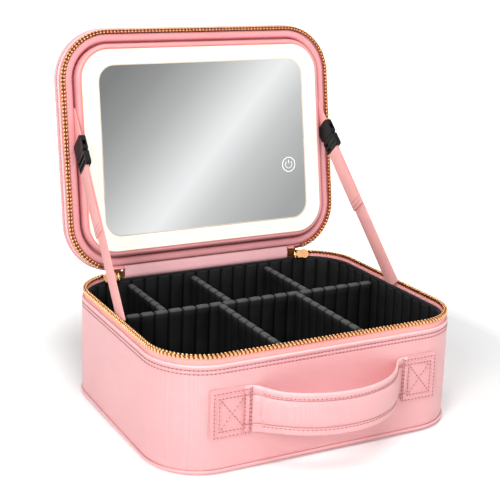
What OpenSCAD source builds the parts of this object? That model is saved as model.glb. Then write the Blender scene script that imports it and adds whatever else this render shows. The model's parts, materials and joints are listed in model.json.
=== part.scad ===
// Vanity train case with a lit mirror in the lid.
// A soft-cornered leather-covered box stands open on its base: the lid leans back on a folding
// spine, two webbing straps with side-release buckles hold it, a metal zip runs round both rims,
// and a ribbed black lining with lift-out dividers makes seven compartments.
// Origin: centre of the underside. +X runs along the handle face, -Y is the front, +Z is up.
// All sizes are millimetres. The model is drawn with the lid open; the lid is described closed
// and mirrored about the closing plane, then turned about the hinge line by lid_open.

/* [Case] */
// Width of the case along the handle face
case_w = 260; // [235:1:300]
// Depth of the case from front to back
case_d = 206; // [190:1:240]
// Radius of the four upright corners
corner_r = 43; // [36:1:50]
// Height of the folded leather edge of the base
base_h = 84; // [70:1:110]
// Thickness of the covered bottom board and of the lid's outer board
board_t = 3.4; // [2.4:0.2:5]
// Radius of the piping bead in the seam round each board
piping_r = 1.1; // [0.7:0.1:1.3]
// Thickness of the folded leather lip outside the zip tape
lip_t = 1.6; // [1:0.1:2.4]
// How far the zip tape is stitched down inside the lip
seam_h = 6; // [4:0.5:6]

/* [Lid] */
// Height of the lid's side wall below its folded edge
lid_wall_h = 10; // [8:0.5:20]
// Opening angle of the lid as the straps hold it
lid_open = 99; // [90:1:105]
// Distance of the hinge line in from the back face
hinge_in = 4; // [3:0.5:5]
// Height of the hinge line above the closing plane
hinge_up = 5.8; // [4:0.2:7]

/* [Zip] */
// Spacing of the teeth along one row
tooth_pitch = 3.2; // [2.8:0.1:5]
// Width of one tooth along the row
tooth_w = 1.4; // [1:0.1:1.6]
// Thickness of one tooth across the tape
tooth_t = 3.4; // [2.8:0.1:3.8]
// Height of one tooth
tooth_h = 3.4; // [3:0.1:4]
// Depth of the slot that grips the tape
tooth_bite = 1.8; // [1:0.1:2.2]
// Thickness of the zip tape
tape_t = 0.8; // [0.6:0.1:1]
// Free height of the tape between the leather edge and the teeth
tape_stand = 4.2; // [3.5:0.1:6]
// Gap between the two closed rows
row_gap = 0.3; // [0.2:0.05:0.6]
// Distance of the last tooth in from the case's side, round the back corner
row_end = 29; // [26:1:34]

/* [Lining] */
// Thickness of the pink facing inside the tape
facing_t = 1.2; // [0.8:0.1:2]
// Height of the facing above the leather edge
facing_up = 2.6; // [1:0.1:3]
// Thickness of the black liner
liner_t = 3.4; // [3:0.1:3.6]
// Height of the bound top of the liner above the leather edge
liner_up = 2.3; // [0:0.1:2.5]
// Spacing of the pressed ribs
rib_pitch = 12; // [8:0.5:16]
// Width of the groove between two ribs
groove_w = 1.6; // [1:0.1:2.4]
// Depth of that groove
groove_d = 1; // [0.5:0.1:1.4]
// Thickness of the floor pad
pad_t = 3; // [2:0.5:5]

/* [Dividers] */
// Thickness over the ribs of each divider
divider_t = 4.5; // [3.6:0.1:6]
// Distance of the divider tops below the leather edge
divider_drop = 2.5; // [0:0.5:12]
// Place of the long divider, behind the middle
long_y = 22; // [21:0.5:28]
// Place of the left divider behind the long one
back_left_x = -76; // [-90:1:-60]
// Place of the middle divider behind the long one
back_mid_x = -16; // [-40:1:20]
// Place of the right divider behind the long one
back_right_x = 58; // [40:1:74]
// Place of the left divider in front of the long one
front_left_x = -27; // [-60:1:-10]
// Place of the right divider in front of the long one
front_right_x = 46; // [10:1:80]
// Clearance at each end of a divider
divider_gap = 0.35; // [0.2:0.05:0.6]

/* [Mirror] */
// Margin of the lit panel inside the case's outline, at the sides
panel_side = 17; // [16:0.5:22]
// Margin of the lit panel inside the case's outline, at the top and bottom
panel_end = 17.5; // [16:0.5:22]
// Corner radius of the lit panel
panel_r = 25; // [20:1:30]
// Width of the lit border beside the mirror
light_side = 14.5; // [12:0.5:24]
// Width of the lit border above and below the mirror
light_end = 13; // [12:0.5:24]
// Corner radius of the mirror glass
mirror_r = 14.5; // [8:0.5:18]
// Thickness of the mirror glass
mirror_t = 2; // [1.5:0.5:3]
// Height of the panel's face in front of the teeth's middle line
panel_proud = 5.6; // [4:0.2:6]
// Wall of the panel's housing
housing_wall = 1.6; // [1.2:0.1:2.4]

/* [Handle] */
// Distance between the middles of the two sewn tabs
tab_span = 162; // [140:1:176]
// Width of a tab
tab_w = 33; // [26:1:38]
// Height of a tab
tab_h = 37.5; // [34:0.5:44]
// Thickness of a tab
tab_t = 3.2; // [2:0.2:4]
// Height of the handle strap
grip_h = 32; // [24:1:34]
// Thickness of the padded handle strap
grip_t = 4.4; // [3.6:0.2:6]
// Thickness of the strap where it goes under a tab
grip_end = 2.6; // [2:0.2:3.4]
// How far the middle of the strap hangs below its ends
grip_droop = 2; // [0:0.5:5]
// How far the strap bows out from the front
grip_bow = 32; // [24:1:40]
// Height of the handle's middle above the bottom
grip_z = 47; // [38:1:52]

/* [Straps] */
// Width of the webbing
web_w = 16; // [14:0.5:17]
// Thickness of the webbing
web_t = 1.2; // [0.8:0.1:1.4]
// Distance of the strap's root from the hinge line, along the lid
root_v = 131; // [128:1:136]
// Place of the strap's lower end, from the middle of the side, + to the back
land_y = -14; // [-20:1:6]
// Length of the upper strap that shows above the buckle
upper_len = 26; // [25:0.5:28]
// Length of the closed buckle
buckle_l = 28; // [26:0.5:30]
// Width of the buckle
buckle_w = 20; // [19:0.5:21]
// Thickness of the buckle
buckle_t = 4.8; // [4.4:0.1:5]

/* [Hidden] */
$fn = 48;
pink = [0.94, 0.64, 0.64];
gold = [0.83, 0.62, 0.36];
black = [0.08, 0.08, 0.09];

// Layers of the rim, counted inwards from the outer face
tape_in = lip_t;
facing_in = tape_in + tape_t;
liner_in = facing_in + facing_t;
liner_face = liner_in + liner_t;
tape_mid = tape_in + tape_t / 2;

// Levels, counted up from the underside
tooth_z = base_h + tape_stand;
tooth_top = tooth_z + tooth_h;
close_z = tooth_top + row_gap / 2;
seam_z = base_h - seam_h;
bind_r = liner_t / 2;
bind_z = base_h + liner_up - bind_r - 0.8;
floor_z = board_t + pad_t;
divider_z = base_h - divider_drop;
hinge_y = case_d / 2 - hinge_in;
hinge_z = close_z + hinge_up;

// Levels in the lid's own frame, which is the base's frame turned over
lid_out_z = base_h - lid_wall_h;
lid_board_z = lid_out_z + board_t;
core_z = lid_board_z + 4.6;
tooth_mid = tooth_z + tooth_h / 2;
band_z = tooth_mid - 0.4;
panel_face = tooth_mid + panel_proud;
panel_w = case_w - 2 * panel_side;
panel_d = case_d - 2 * panel_end;
mirror_w = panel_w - 2 * light_side;
mirror_d = panel_d - 2 * light_end;
crease_w = 3;
crease_in = panel_side - 3.6;
band_in = tooth_t / 2 + tape_mid + 0.5;
pad_run = 12;
mirror_lip = 3;
led_gap = 1;
led_w = 5;
led_t = 1;
cell = [60, 36, 3.5];
cell_at = [-60, -20];
circuit = [34, 30, 1.6];
circuit_in = 45;
glass_gap = 0.1;

// Straps: they run in planes that lean out from the lid's crease to the base's rim
web_x0 = case_w / 2 - crease_in + crease_w / 2;
web_x1 = case_w / 2 - liner_in - web_t / 2 - 0.4;
root_yc = hinge_y - root_v;
root_zl = core_z + 0.3;
land_z = base_h + liner_up + 0.15;
root_p = lid_pt(root_yc, root_zl);
web_dy = land_y - root_p[0];
web_dz = land_z - root_p[1];
web_len = norm([web_dy, web_dz]);
web_tilt = atan2(-web_dy, -web_dz);
web_lean = atan2(web_x1 - web_x0, web_len);

// Handle: two small arcs lead out of the tabs into one large arc
bow_half = tab_span / 2 - tab_w / 2;
bow_turn = 2 * atan(grip_bow / bow_half);
bow_sum = bow_half / sin(bow_turn);
bow_small = 16;
bow_big = bow_sum - bow_small;
bow_n = 8;

// Zip slider and pull
slider_l = 12;
slider_h = 5.4;
slider_plate = 1.1;
slider_room = tooth_t / 2 + 0.3;
row_end_x = case_w / 2 - row_end;
slider_x = row_end_x - 13.5;
tape_end = slider_x - slider_l / 2;
spine_half = tape_end - 1;
pull_l = 14;
pull_w = 8.6;
pull_t = 1.2;
pull_lean = 30;
pin_r = 0.7;
pin_y = case_d / 2 - tape_mid - slider_room - slider_plate - 4.1;
pin_z = base_h + facing_up + 2.8;

// One of the names above, or all

// ---- plan shapes and rings ----

// Rectangle with round corners
module rrect(w, d, r) {
  square([w - 2 * r, d], center = true);
  square([w, d - 2 * r], center = true);
  for (sx = [-1, 1], sy = [-1, 1])
    translate([sx * (w / 2 - r), sy * (d / 2 - r)]) circle(r);
}

// The case's outline, drawn in by an inset
module outline(inset) rrect(case_w - 2 * inset, case_d - 2 * inset, corner_r - inset);

// Slab and wall of the case's outline
module slab(inset, z0, z1) translate([0, 0, z0]) linear_extrude(z1 - z0) outline(inset);
module wall(in0, in1, z0, z1) translate([0, 0, z0]) linear_extrude(z1 - z0)
  difference() { outline(in0); outline(in1); }

// Runs a section round a rectangle: x of the section counts inwards from the outline, y is height
module run_round(w, d, r) {
  for (q = [0 : 3]) rotate(q * 90) {
    long = q % 2 == 0 ? w : d;
    deep = q % 2 == 0 ? d : w;
    translate([-(long / 2 - r), -deep / 2, 0]) rotate([90, 0, 90])
      linear_extrude(long - 2 * r) children();
    translate([long / 2 - r, -(deep / 2 - r), 0]) rotate(-90)
      rotate_extrude(angle = 90) translate([r, 0]) mirror([1, 0]) children();
  }
}
module run_rim(inset) run_round(case_w - 2 * inset, case_d - 2 * inset, corner_r - inset) children();

// ---- the path of the teeth ----

path_w = case_w - 2 * tape_mid;
path_d = case_d - 2 * tape_mid;
path_r = corner_r - tape_mid;
run_front = path_w / 2 - path_r;
run_arc = path_r * PI / 2;
run_side = path_d - 2 * path_r;
end_turn = acos((row_end_x - run_front) / path_r);
row_half = run_front + run_arc + run_side + path_r * end_turn * PI / 180;
teeth = floor(row_half / tooth_pitch);

// Place and heading at a distance u from the middle of the front
function rim_pt(u) =
  u < run_front ? [u, -path_d / 2, 0] :
  u < run_front + run_arc ?
    let (t = (u - run_front) / path_r * 180 / PI)
    [run_front + path_r * sin(t), -path_d / 2 + path_r - path_r * cos(t), t] :
  u < run_front + run_arc + run_side ?
    [path_w / 2, -path_d / 2 + path_r + u - run_front - run_arc, 90] :
    let (t = (u - run_front - run_arc - run_side) / path_r * 180 / PI)
    [run_front + path_r * cos(t), path_d / 2 - path_r + path_r * sin(t), 90 + t];

// Puts a child at a signed distance along the rim
module at_rim(s) {
  p = rim_pt(abs(s));
  mirror([s < 0 ? 1 : 0, 0, 0]) translate([p[0], p[1], 0]) rotate(p[2]) children();
}

// One tooth: a block that saddles the tape
module tooth() {
  g = tape_t / 2 + 0.02;
  rotate([90, 0, 90]) translate([0, 0, -tooth_w / 2]) linear_extrude(tooth_w) polygon([
    [-tooth_t / 2, 0], [-g, 0], [-g, tooth_bite], [g, tooth_bite], [g, 0], [tooth_t / 2, 0],
    [tooth_t / 2, tooth_h - 0.6], [tooth_t / 2 - 0.6, tooth_h], [0.6 - tooth_t / 2, tooth_h],
    [-tooth_t / 2, tooth_h - 0.6]
  ]);
}

// A row of teeth; shift sets the lid's row half a pitch along
module tooth_row(shift) color(gold)
  for (i = [-teeth : teeth - 1]) at_rim((i + 0.5 + shift) * tooth_pitch)
    translate([0, 0, tooth_z]) tooth();

// Tape round three sides and both back corners, as far as the sliders
module tape() color(pink) difference() {
  wall(tape_in, facing_in, seam_z, tooth_z + tooth_bite);
  translate([-tape_end, 0, seam_z - 1]) cube([2 * tape_end, case_d, case_d]);
}

// Facing that covers the tape's stitching on the inside
module facing() color(pink) wall(facing_in, liner_in, seam_z, base_h + facing_up);

// Side wall with the rebate that takes the tape and the facing
module side_wall(z0) color(pink) {
  wall(0, liner_in, z0, seam_z);
  wall(0, lip_t, seam_z, base_h - 0.8);
  translate([0, 0, base_h - 0.8]) run_rim(0) intersection() {
    square([lip_t, 0.8]);
    translate([lip_t / 2, 0]) circle(0.8);
  }
}

// Covered board with a rounded edge
module board(z0) color(pink) {
  slab(board_t, z0, z0 + board_t);
  translate([0, 0, z0]) run_rim(0) intersection() {
    translate([board_t, board_t]) circle(board_t);
    square(board_t);
  }
}

// Piping bead in the seam: a cord half sunk between wall and board
module piping(z) color(pink) translate([0, 0, z]) run_rim(0)
  intersection() { circle(piping_r); translate([-piping_r, -piping_r]) square([piping_r, 2 * piping_r]); }

// ---- the lid's frame ----

// Where a point of the closed lid, given in the turned-over frame, lies in the open lid
function lid_pt(y, zl) =
  let (ry = y - hinge_y, rz = 2 * close_z - zl - hinge_z)
  [hinge_y + ry * cos(lid_open) + rz * sin(lid_open),
   hinge_z - ry * sin(lid_open) + rz * cos(lid_open)];

// Turns what is drawn as in the base over into the open lid
module in_lid() translate([0, hinge_y, hinge_z]) rotate([-lid_open, 0, 0])
  translate([0, -hinge_y, 2 * close_z - hinge_z]) mirror([0, 0, 1]) children();

// ---- base ----

module base_shell() side_wall(board_t);
module base_bottom() board(0);
module base_piping() piping(board_t);
module base_tape() tape();
module base_teeth() tooth_row(0);
module base_facing() facing();

// Ribbed liner: a ring with pressed grooves on its inner face
module liner() color(black) translate([0, 0, board_t]) linear_extrude(bind_z - board_t)
  difference() {
    outline(liner_in);
    outline(liner_face);
    liner_grooves();
  }
// The grooves stand at equal steps along each straight wall and round each corner, with one where
// a wall meets a corner
module liner_grooves() {
  flat_x = case_w / 2 - corner_r;
  flat_y = case_d / 2 - corner_r;
  nx = round(2 * flat_x / rib_pitch);
  ny = round(2 * flat_y / rib_pitch);
  for (i = [1 : nx - 1], s = [-1, 1])
    translate([flat_x * (2 * i / nx - 1), s * (case_d / 2 - liner_face)])
      square([groove_w, 2 * groove_d], center = true);
  for (i = [1 : ny - 1], s = [-1, 1])
    translate([s * (case_w / 2 - liner_face), flat_y * (2 * i / ny - 1)])
      square([2 * groove_d, groove_w], center = true);
  r = corner_r - liner_face;
  n = round(r * PI / 2 / rib_pitch);
  for (sx = [-1, 1], sy = [-1, 1], k = [0 : n])
    translate([sx * flat_x, sy * flat_y]) rotate(atan2(sy, sx) - 45 + k * 90 / n)
      translate([r, 0]) square([2 * groove_d, groove_w], center = true);
}

// Bound edge: a flat band with a half-round top
module liner_binding() color(black) translate([0, 0, bind_z]) run_rim(liner_in) {
  square([liner_t, 0.8]);
  translate([bind_r, 0.8]) intersection() {
    circle(bind_r);
    translate([-bind_r, 0]) square([2 * bind_r, bind_r]);
  }
}

module floor_pad() color(black) slab(liner_face, board_t, floor_z);

// ---- dividers ----

// Upright slab with a round top, drawn across its length
module divider_section(t, h) {
  translate([-t / 2, 0]) square([t, h - t / 2]);
  translate([0, h - t / 2]) circle(t / 2);
}
// A divider along +X from x0 to x1: a core that carries ribs
module divider(x0, x1) {
  h = divider_z - floor_z;
  n = ceil((x1 - x0) / rib_pitch);
  first = (x0 + x1) / 2 - n / 2 * rib_pitch;
  color(black) translate([0, 0, floor_z]) rotate([90, 0, 90]) {
    translate([0, 0, x0]) linear_extrude(x1 - x0)
      divider_section(divider_t - 2 * groove_d, h - groove_d);
    for (k = [0 : n - 1]) {
      a = max(x0, first + k * rib_pitch + groove_w / 2);
      b = min(x1, first + (k + 1) * rib_pitch - groove_w / 2);
      if (b - a > 1) translate([0, 0, a]) linear_extrude(b - a) divider_section(divider_t, h);
    }
  }
}
long_half = case_w / 2 - liner_face - divider_gap;
cross_back = case_d / 2 - liner_face - divider_gap;
cross_step = divider_t / 2 + divider_gap;
module cross_divider(x, y0, y1) translate([x, 0, 0]) rotate(90) divider(y0, y1);

module divider_long() translate([0, long_y, 0]) divider(-long_half, long_half);
module divider_back_left() cross_divider(back_left_x, long_y + cross_step, cross_back);
module divider_back_mid() cross_divider(back_mid_x, long_y + cross_step, cross_back);
module divider_back_right() cross_divider(back_right_x, long_y + cross_step, cross_back);
module divider_front_left() cross_divider(front_left_x, -cross_back, long_y - cross_step);
module divider_front_right() cross_divider(front_right_x, -cross_back, long_y - cross_step);

// ---- folding spine between base and lid ----

// Outline of a sheet of thickness t along points p in a plane
function unit(v) = v / norm(v);
function left_of(v) = [-v[1], v[0]];
function side_pts(p, h) = [for (i = [0 : len(p) - 1])
  let (a = left_of(unit(p[min(i + 1, len(p) - 1)] - p[min(i, len(p) - 2)])),
       b = left_of(unit(p[max(i, 1)] - p[max(i - 1, 0)])),
       m = unit(a + b))
  p[i] + m * h / max(0.3, m * a)];
module sheet(p, t) polygon(concat(side_pts(p, t / 2),
  [for (q = [len(p) - 1 : -1 : 0]) side_pts(p, -t / 2)[q]]));

// Outer spine: held in the rebates of base and lid, where the tape stops
module hinge_spine() color(pink) {
  y = case_d / 2 - tape_mid;
  mouth = lid_pt(y, base_h);
  deep = lid_pt(y, seam_z + 0.3);
  knee = mouth + unit(mouth - deep) * 1.4;
  translate([-spine_half, 0, 0]) rotate([90, 0, 90]) linear_extrude(2 * spine_half)
    sheet([[y, seam_z + 0.3], [y, base_h + facing_up + 4], knee - [0, 1.8], knee, deep],
          tape_t - 0.2);
}
// Inner panel: from the base's facing to the lid's facing
module hinge_panel() color(pink) {
  y = case_d / 2 - facing_in - facing_t / 2;
  top = lid_pt(y, base_h + facing_up + 0.65);
  translate([-spine_half, 0, 0]) rotate([90, 0, 90]) linear_extrude(2 * spine_half)
    sheet([[y, base_h + facing_up + 0.35], [y - 0.4, base_h + facing_up + 2.5],
           top + [-0.3, -2], top], facing_t - 0.2);
}

// ---- lid ----

module lid_shell() in_lid() side_wall(lid_board_z);
module lid_board() in_lid() board(lid_out_z);
module lid_piping() in_lid() piping(lid_board_z);
module lid_tape() in_lid() tape();
module lid_teeth() in_lid() tooth_row(0.5);
module lid_facing() in_lid() facing();
// Foam core behind the lining
module lid_core() in_lid() color(pink) slab(liner_in, lid_board_z, core_z);
// Lining band between the zip and the crease, with soft edges
module lid_band() in_lid() color(pink) {
  w = crease_in - crease_w - band_in;
  translate([0, 0, core_z]) run_rim(band_in) soft_section(w, band_z - core_z, 1.5);
}
// Padded frame round the lit panel
module lid_pad() in_lid() color(pink) difference() {
  translate([0, 0, core_z]) run_rim(crease_in) soft_section(pad_run, panel_face - 1.4 - core_z, 1.8);
  translate([0, 0, core_z - 1]) linear_extrude(panel_face) panel_outline(0);
}
// Rectangle section with two round upper corners
module soft_section(w, h, r) {
  square([w, h - r]);
  translate([r, 0]) square([w - 2 * r, h]);
  translate([r, h - r]) circle(r);
  translate([w - r, h - r]) circle(r);
}
module panel_outline(inset)
  rrect(panel_w - 2 * inset, panel_d - 2 * inset, panel_r - inset);
module mirror_outline(grow)
  rrect(mirror_w + 2 * grow, mirror_d + 2 * grow, mirror_r + grow);

// Tray that holds the lights and the electronics
frame_z = panel_face - 2 * mirror_t;
module mirror_housing() in_lid() color("white") difference() {
  translate([0, 0, core_z]) linear_extrude(frame_z - core_z) panel_outline(0);
  translate([0, 0, core_z + housing_wall]) linear_extrude(frame_z) panel_outline(housing_wall);
}
// Diffuser frame with a rebate for the glass
module light_frame() in_lid() color([1, 0.97, 0.86]) difference() {
  translate([0, 0, frame_z]) linear_extrude(panel_face - frame_z) panel_outline(0);
  translate([0, 0, frame_z - 1]) linear_extrude(panel_face) mirror_outline(-mirror_lip);
  translate([0, 0, panel_face - mirror_t]) linear_extrude(panel_face) mirror_outline(glass_gap);
}
module mirror_glass() in_lid() color([0.75, 0.78, 0.8])
  translate([0, 0, panel_face - mirror_t]) linear_extrude(mirror_t - 0.1) mirror_outline(0);
// Strip of lights under the diffuser
module led_strip() in_lid() color([1, 0.95, 0.7])
  translate([0, 0, core_z + housing_wall]) linear_extrude(led_t) difference() {
    panel_outline(housing_wall + led_gap);
    panel_outline(housing_wall + led_gap + led_w);
  }
module battery_cell() in_lid() color("silver")
  translate([cell_at[0], cell_at[1], core_z + housing_wall]) cube(cell);
module control_board() in_lid() color("green")
  translate([mirror_w / 2 - circuit_in, -circuit[1] / 2, core_z + housing_wall]) cube(circuit);

// ---- handle ----

grip_y = -case_d / 2 - 0.3 - grip_end / 2;
// Stations along the bow: place, heading, and how far the padding has filled out
function bow_pt(i) =
  i <= bow_n ? let (t = bow_turn * i / bow_n)
    [-bow_half + bow_small * sin(t), grip_y - bow_small * (1 - cos(t)), -t] :
  i <= 3 * bow_n ? let (t = bow_turn * (i / bow_n - 2))
    [bow_big * sin(t), grip_y - grip_bow + bow_big * (1 - cos(t)), t] :
    let (t = bow_turn * (4 - i / bow_n))
    [bow_half - bow_small * sin(t), grip_y - bow_small * (1 - cos(t)), t];
// Padded section: flat faces with round edges, as points of [across, up]
function grip_section(t, h) = let (a = t / 2, k = h / 2 - a, c = a * 0.71)
  [[-a, -k], [-a, k], [-c, k + c], [0, k + a], [c, k + c], [a, k], [a, -k], [c, -k - c],
   [0, -k - a], [-c, -k - c]];
module handle_strap() color(pink) {
  last = 4 * bow_n;
  m = 10;
  rings = [for (i = [0 : last]) let (p = bow_pt(i), full = sin(180 * i / last))
    for (q = grip_section(grip_end + (grip_t - grip_end) * min(1, 2 * full), grip_h))
      [p[0] - q[0] * sin(p[2]), p[1] + q[0] * cos(p[2]), grip_z + q[1] - grip_droop * full]];
  polyhedron(rings, concat(
    [for (i = [0 : last - 1], k = [0 : m - 1]) let (a = i * m + k, b = i * m + (k + 1) % m)
      each [[a, a + m, b + m], [a, b + m, b]]],
    [for (k = [1 : m - 2]) each [[0, k, k + 1], [last * m, last * m + k + 1, last * m + k]]]));
}
module handle_tab(s) color(pink)
  translate([s * tab_span / 2, -case_d / 2, grip_z]) rotate([90, 0, 0])
    linear_extrude(tab_t) rrect(tab_w, tab_h, 2);
module handle_tab_left() handle_tab(-1);
module handle_tab_right() handle_tab(1);

// ---- straps and buckles ----

// Frame of a strap: origin at its root, -Z runs down the strap, X is its thickness
module on_web(s) translate([s * web_x0, root_p[0], root_p[1]]) rotate([-web_tilt, 0, 0])
  rotate([0, -s * web_lean, 0]) children();
// A length of webbing drawn in the plane of the strap
module web(p) color(pink) rotate([90, 0, 90]) translate([0, 0, -web_t / 2])
  linear_extrude(web_t) polygon(p);

// The upper end is cut along the lid's crease, so it slants against the strap
root_slant = tan(lid_open - web_tilt);
module web_upper(s) on_web(s) web([
  [-web_w / 2, web_w / 2 * root_slant], [web_w / 2, -web_w / 2 * root_slant],
  [web_w / 2, -upper_len - 2.6], [-web_w / 2, -upper_len - 2.6]
]);
module web_upper_left() web_upper(-1);
module web_upper_right() web_upper(1);

socket_l = buckle_l * 0.52;
bar = 2.4;
slot = web_t + 1;
// Rounded plate of the buckle, drawn in the plane of the strap and given a thickness
module buckle_plate(t) rotate([90, 0, 90]) translate([0, 0, -t / 2]) linear_extrude(t) children();
// Socket: shell with a strap slot, a mouth and two side windows
module buckle_socket(s) on_web(s) color(black) translate([0, 0, -upper_len]) difference() {
  buckle_plate(buckle_t) translate([0, -socket_l / 2]) rrect(buckle_w, socket_l, 2.5);
  // slot for the upper strap
  translate([0, 0, -bar / 2]) cube([slot, web_w + 0.8, bar + 2], center = true);
  // mouth for the prongs
  translate([0, 0, -socket_l + 4.6]) cube([buckle_t - 2, buckle_w - 4.4, 9.4], center = true);
  // side windows where the prongs show
  for (w = [-1, 1]) translate([0, w * buckle_w / 2, -socket_l + 6.1])
    cube([buckle_t - 2, 6, 5], center = true);
}
module buckle_socket_left() buckle_socket(-1);
module buckle_socket_right() buckle_socket(1);

// Plug: a guide tongue, two barbed arms and a ladder frame for the lower strap
module buckle_plug(s) on_web(s) color(black) translate([0, 0, -upper_len - socket_l - 0.2]) {
  t = buckle_t - 2.6;
  body = buckle_l - socket_l - 0.2;
  difference() {
    buckle_plate(buckle_t) translate([0, -body / 2]) rrect(buckle_w, body, 2.5);
    for (k = [0, 1]) translate([0, 0, -5 - k * 5])
      cube([buckle_t + 1, web_w + 0.8, 2.6], center = true);
  }
  buckle_plate(t) {
    translate([-1.6, -1]) square([3.2, 8.6]);
    for (w = [-1, 1]) scale([w, 1]) translate([buckle_w / 2 - 4.6, -1]) {
      square([1.6, 7.4]);
      polygon([[0, 5.2], [4, 5.2], [1.2, 8.4], [0, 8.4]]);
    }
  }
}
module buckle_plug_left() buckle_plug(-1);
module buckle_plug_right() buckle_plug(1);

// Lower strap, cut level where it is sewn in at the rim
web_top = upper_len + buckle_l;
land_slant = tan(web_tilt);
module web_lower(s) on_web(s) web([
  [-web_w / 2, -web_top - 0.3], [web_w / 2, -web_top - 0.3],
  [web_w / 2, -web_len + web_w / 2 * land_slant], [-web_w / 2, -web_len - web_w / 2 * land_slant]
]);
module web_lower_left() web_lower(-1);
module web_lower_right() web_lower(1);

// ---- zip sliders, pulls and stops ----

// A slider straddles the end of the tape: two plates with flanges, a post, and a bail with a pin
module zip_slider(s) color(gold) mirror([s < 0 ? 1 : 0, 0, 0]) {
  translate([slider_x, case_d / 2 - tape_mid, base_h + facing_up + 0.2]) {
    for (w = [0, 1]) mirror([0, w, 0]) {
      translate([0, slider_room + slider_plate / 2, 0]) linear_extrude(slider_h)
        rrect(slider_l, slider_plate, 0.4);
      translate([1 - slider_l / 2, tape_t / 2 + 0.25, 0])
        cube([slider_l - 2, slider_room - tape_t / 2, 1]);
    }
    translate([0, 0, slider_h - 0.65])
      cube([5, 2 * slider_room + slider_plate, 1.3], center = true);
  }
  translate([slider_x, pin_y, pin_z]) rotate([-pull_lean, 0, 0])
    cylinder(h = 2 * bail_half, r = pin_r, center = true);
  for (w = [-1, 1]) bail_lug(w * bail_half);
}
bail_half = 2.9;
// Lug from the inner plate out to one end of the pin
module bail_lug(d) {
  y = pin_y + d * sin(pull_lean);
  z = pin_z + d * cos(pull_lean);
  back = case_d / 2 - tape_mid - slider_room - slider_plate / 2;
  translate([slider_x - 0.8, y - 0.7, z - 0.45]) cube([1.6, back - y + 0.7, 0.9]);
}
module zip_slider_left() zip_slider(-1);
module zip_slider_right() zip_slider(1);

// Flat pull with a round end, its eye round the pin, lying outwards along the rim
module zip_pull(s) color(gold) mirror([s < 0 ? 1 : 0, 0, 0])
  translate([slider_x, pin_y, pin_z]) rotate([-pull_lean, 0, 0]) {
    eye = 2 * (bail_half - 1.5);
    difference() {
      union() {
        cylinder(h = eye, r = pin_r + 0.7, center = true);
        rotate([90, 0, 0]) translate([0, 0, -pull_t / 2]) linear_extrude(pull_t) {
          translate([pull_l - pull_w / 2, 0]) circle(pull_w / 2);
          translate([2.2, -pull_w / 2 + 1]) square([pull_l - pull_w / 2 - 2.2, pull_w - 2]);
          translate([pin_r + 0.3, -eye / 2]) square([3, eye]);
        }
      }
      cylinder(h = eye + 2, r = pin_r + 0.15, center = true);
    }
  }
module zip_pull_left() zip_pull(-1);
module zip_pull_right() zip_pull(1);

// Stop crimped over the tape beyond the last tooth
module zip_stop(s) color(gold) at_rim(s * (row_half + 0.4)) translate([0, 0, tooth_z]) tooth();
module zip_stop_left() zip_stop(-1);
module zip_stop_right() zip_stop(1);

// ---- drawing ----

base_shell();
base_bottom();
base_piping();
base_tape();
base_teeth();
base_facing();
liner();
liner_binding();
floor_pad();
divider_long();
divider_back_left();
divider_back_mid();
divider_back_right();
divider_front_left();
divider_front_right();
hinge_spine();
hinge_panel();
lid_shell();
lid_board();
lid_piping();
lid_tape();
lid_teeth();
lid_facing();
lid_core();
lid_band();
lid_pad();
mirror_housing();
light_frame();
mirror_glass();
led_strip();
battery_cell();
control_board();
handle_strap();
handle_tab_left();
handle_tab_right();
web_upper_left();
web_upper_right();
buckle_socket_left();
buckle_socket_right();
buckle_plug_left();
buckle_plug_right();
web_lower_left();
web_lower_right();
zip_slider_left();
zip_slider_right();
zip_pull_left();
zip_pull_right();
zip_stop_left();
zip_stop_right();
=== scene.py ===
"""Dresses the vanity case: leather walls, ribbed lining, lit mirror, zip, straps and handle."""

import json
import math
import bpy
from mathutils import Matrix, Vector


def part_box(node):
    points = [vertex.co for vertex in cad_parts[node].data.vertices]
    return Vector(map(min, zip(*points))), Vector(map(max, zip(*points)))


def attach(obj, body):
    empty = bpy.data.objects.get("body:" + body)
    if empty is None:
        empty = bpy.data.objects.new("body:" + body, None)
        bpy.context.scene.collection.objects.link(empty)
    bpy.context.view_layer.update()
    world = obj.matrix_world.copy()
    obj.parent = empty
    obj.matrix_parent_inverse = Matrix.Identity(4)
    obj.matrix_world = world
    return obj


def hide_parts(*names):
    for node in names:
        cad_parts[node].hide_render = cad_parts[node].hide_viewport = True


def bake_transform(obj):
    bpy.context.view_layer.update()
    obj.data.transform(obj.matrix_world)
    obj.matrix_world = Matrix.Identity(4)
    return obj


bl_info = {
    "name": "Lit Vanity Case",
    "version": (1, 0, 0),
    "blender": (4, 5, 0),
    "location": "3D View > Sidebar > Vanity Case",
    "description": "Builds the pieces, finishes and studio of a zipped vanity case with a lit mirror",
    "category": "Add Mesh",
}

import bmesh
import bpy
from bpy.props import FloatProperty, FloatVectorProperty, PointerProperty
from mathutils import Matrix, Vector

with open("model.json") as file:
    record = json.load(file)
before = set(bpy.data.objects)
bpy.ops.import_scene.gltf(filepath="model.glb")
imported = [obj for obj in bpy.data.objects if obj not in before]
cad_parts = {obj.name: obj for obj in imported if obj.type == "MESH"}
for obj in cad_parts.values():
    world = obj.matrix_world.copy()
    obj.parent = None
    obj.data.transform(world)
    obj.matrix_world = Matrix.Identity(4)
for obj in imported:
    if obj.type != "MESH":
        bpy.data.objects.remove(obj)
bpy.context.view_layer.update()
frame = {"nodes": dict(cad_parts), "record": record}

MM = 0.001
HALF_TURN = math.pi
QUARTER = math.pi / 2
SIDES = (("left", -1), ("right", 1))


# ---------------------------------------------------------------- places read from the frame

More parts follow.
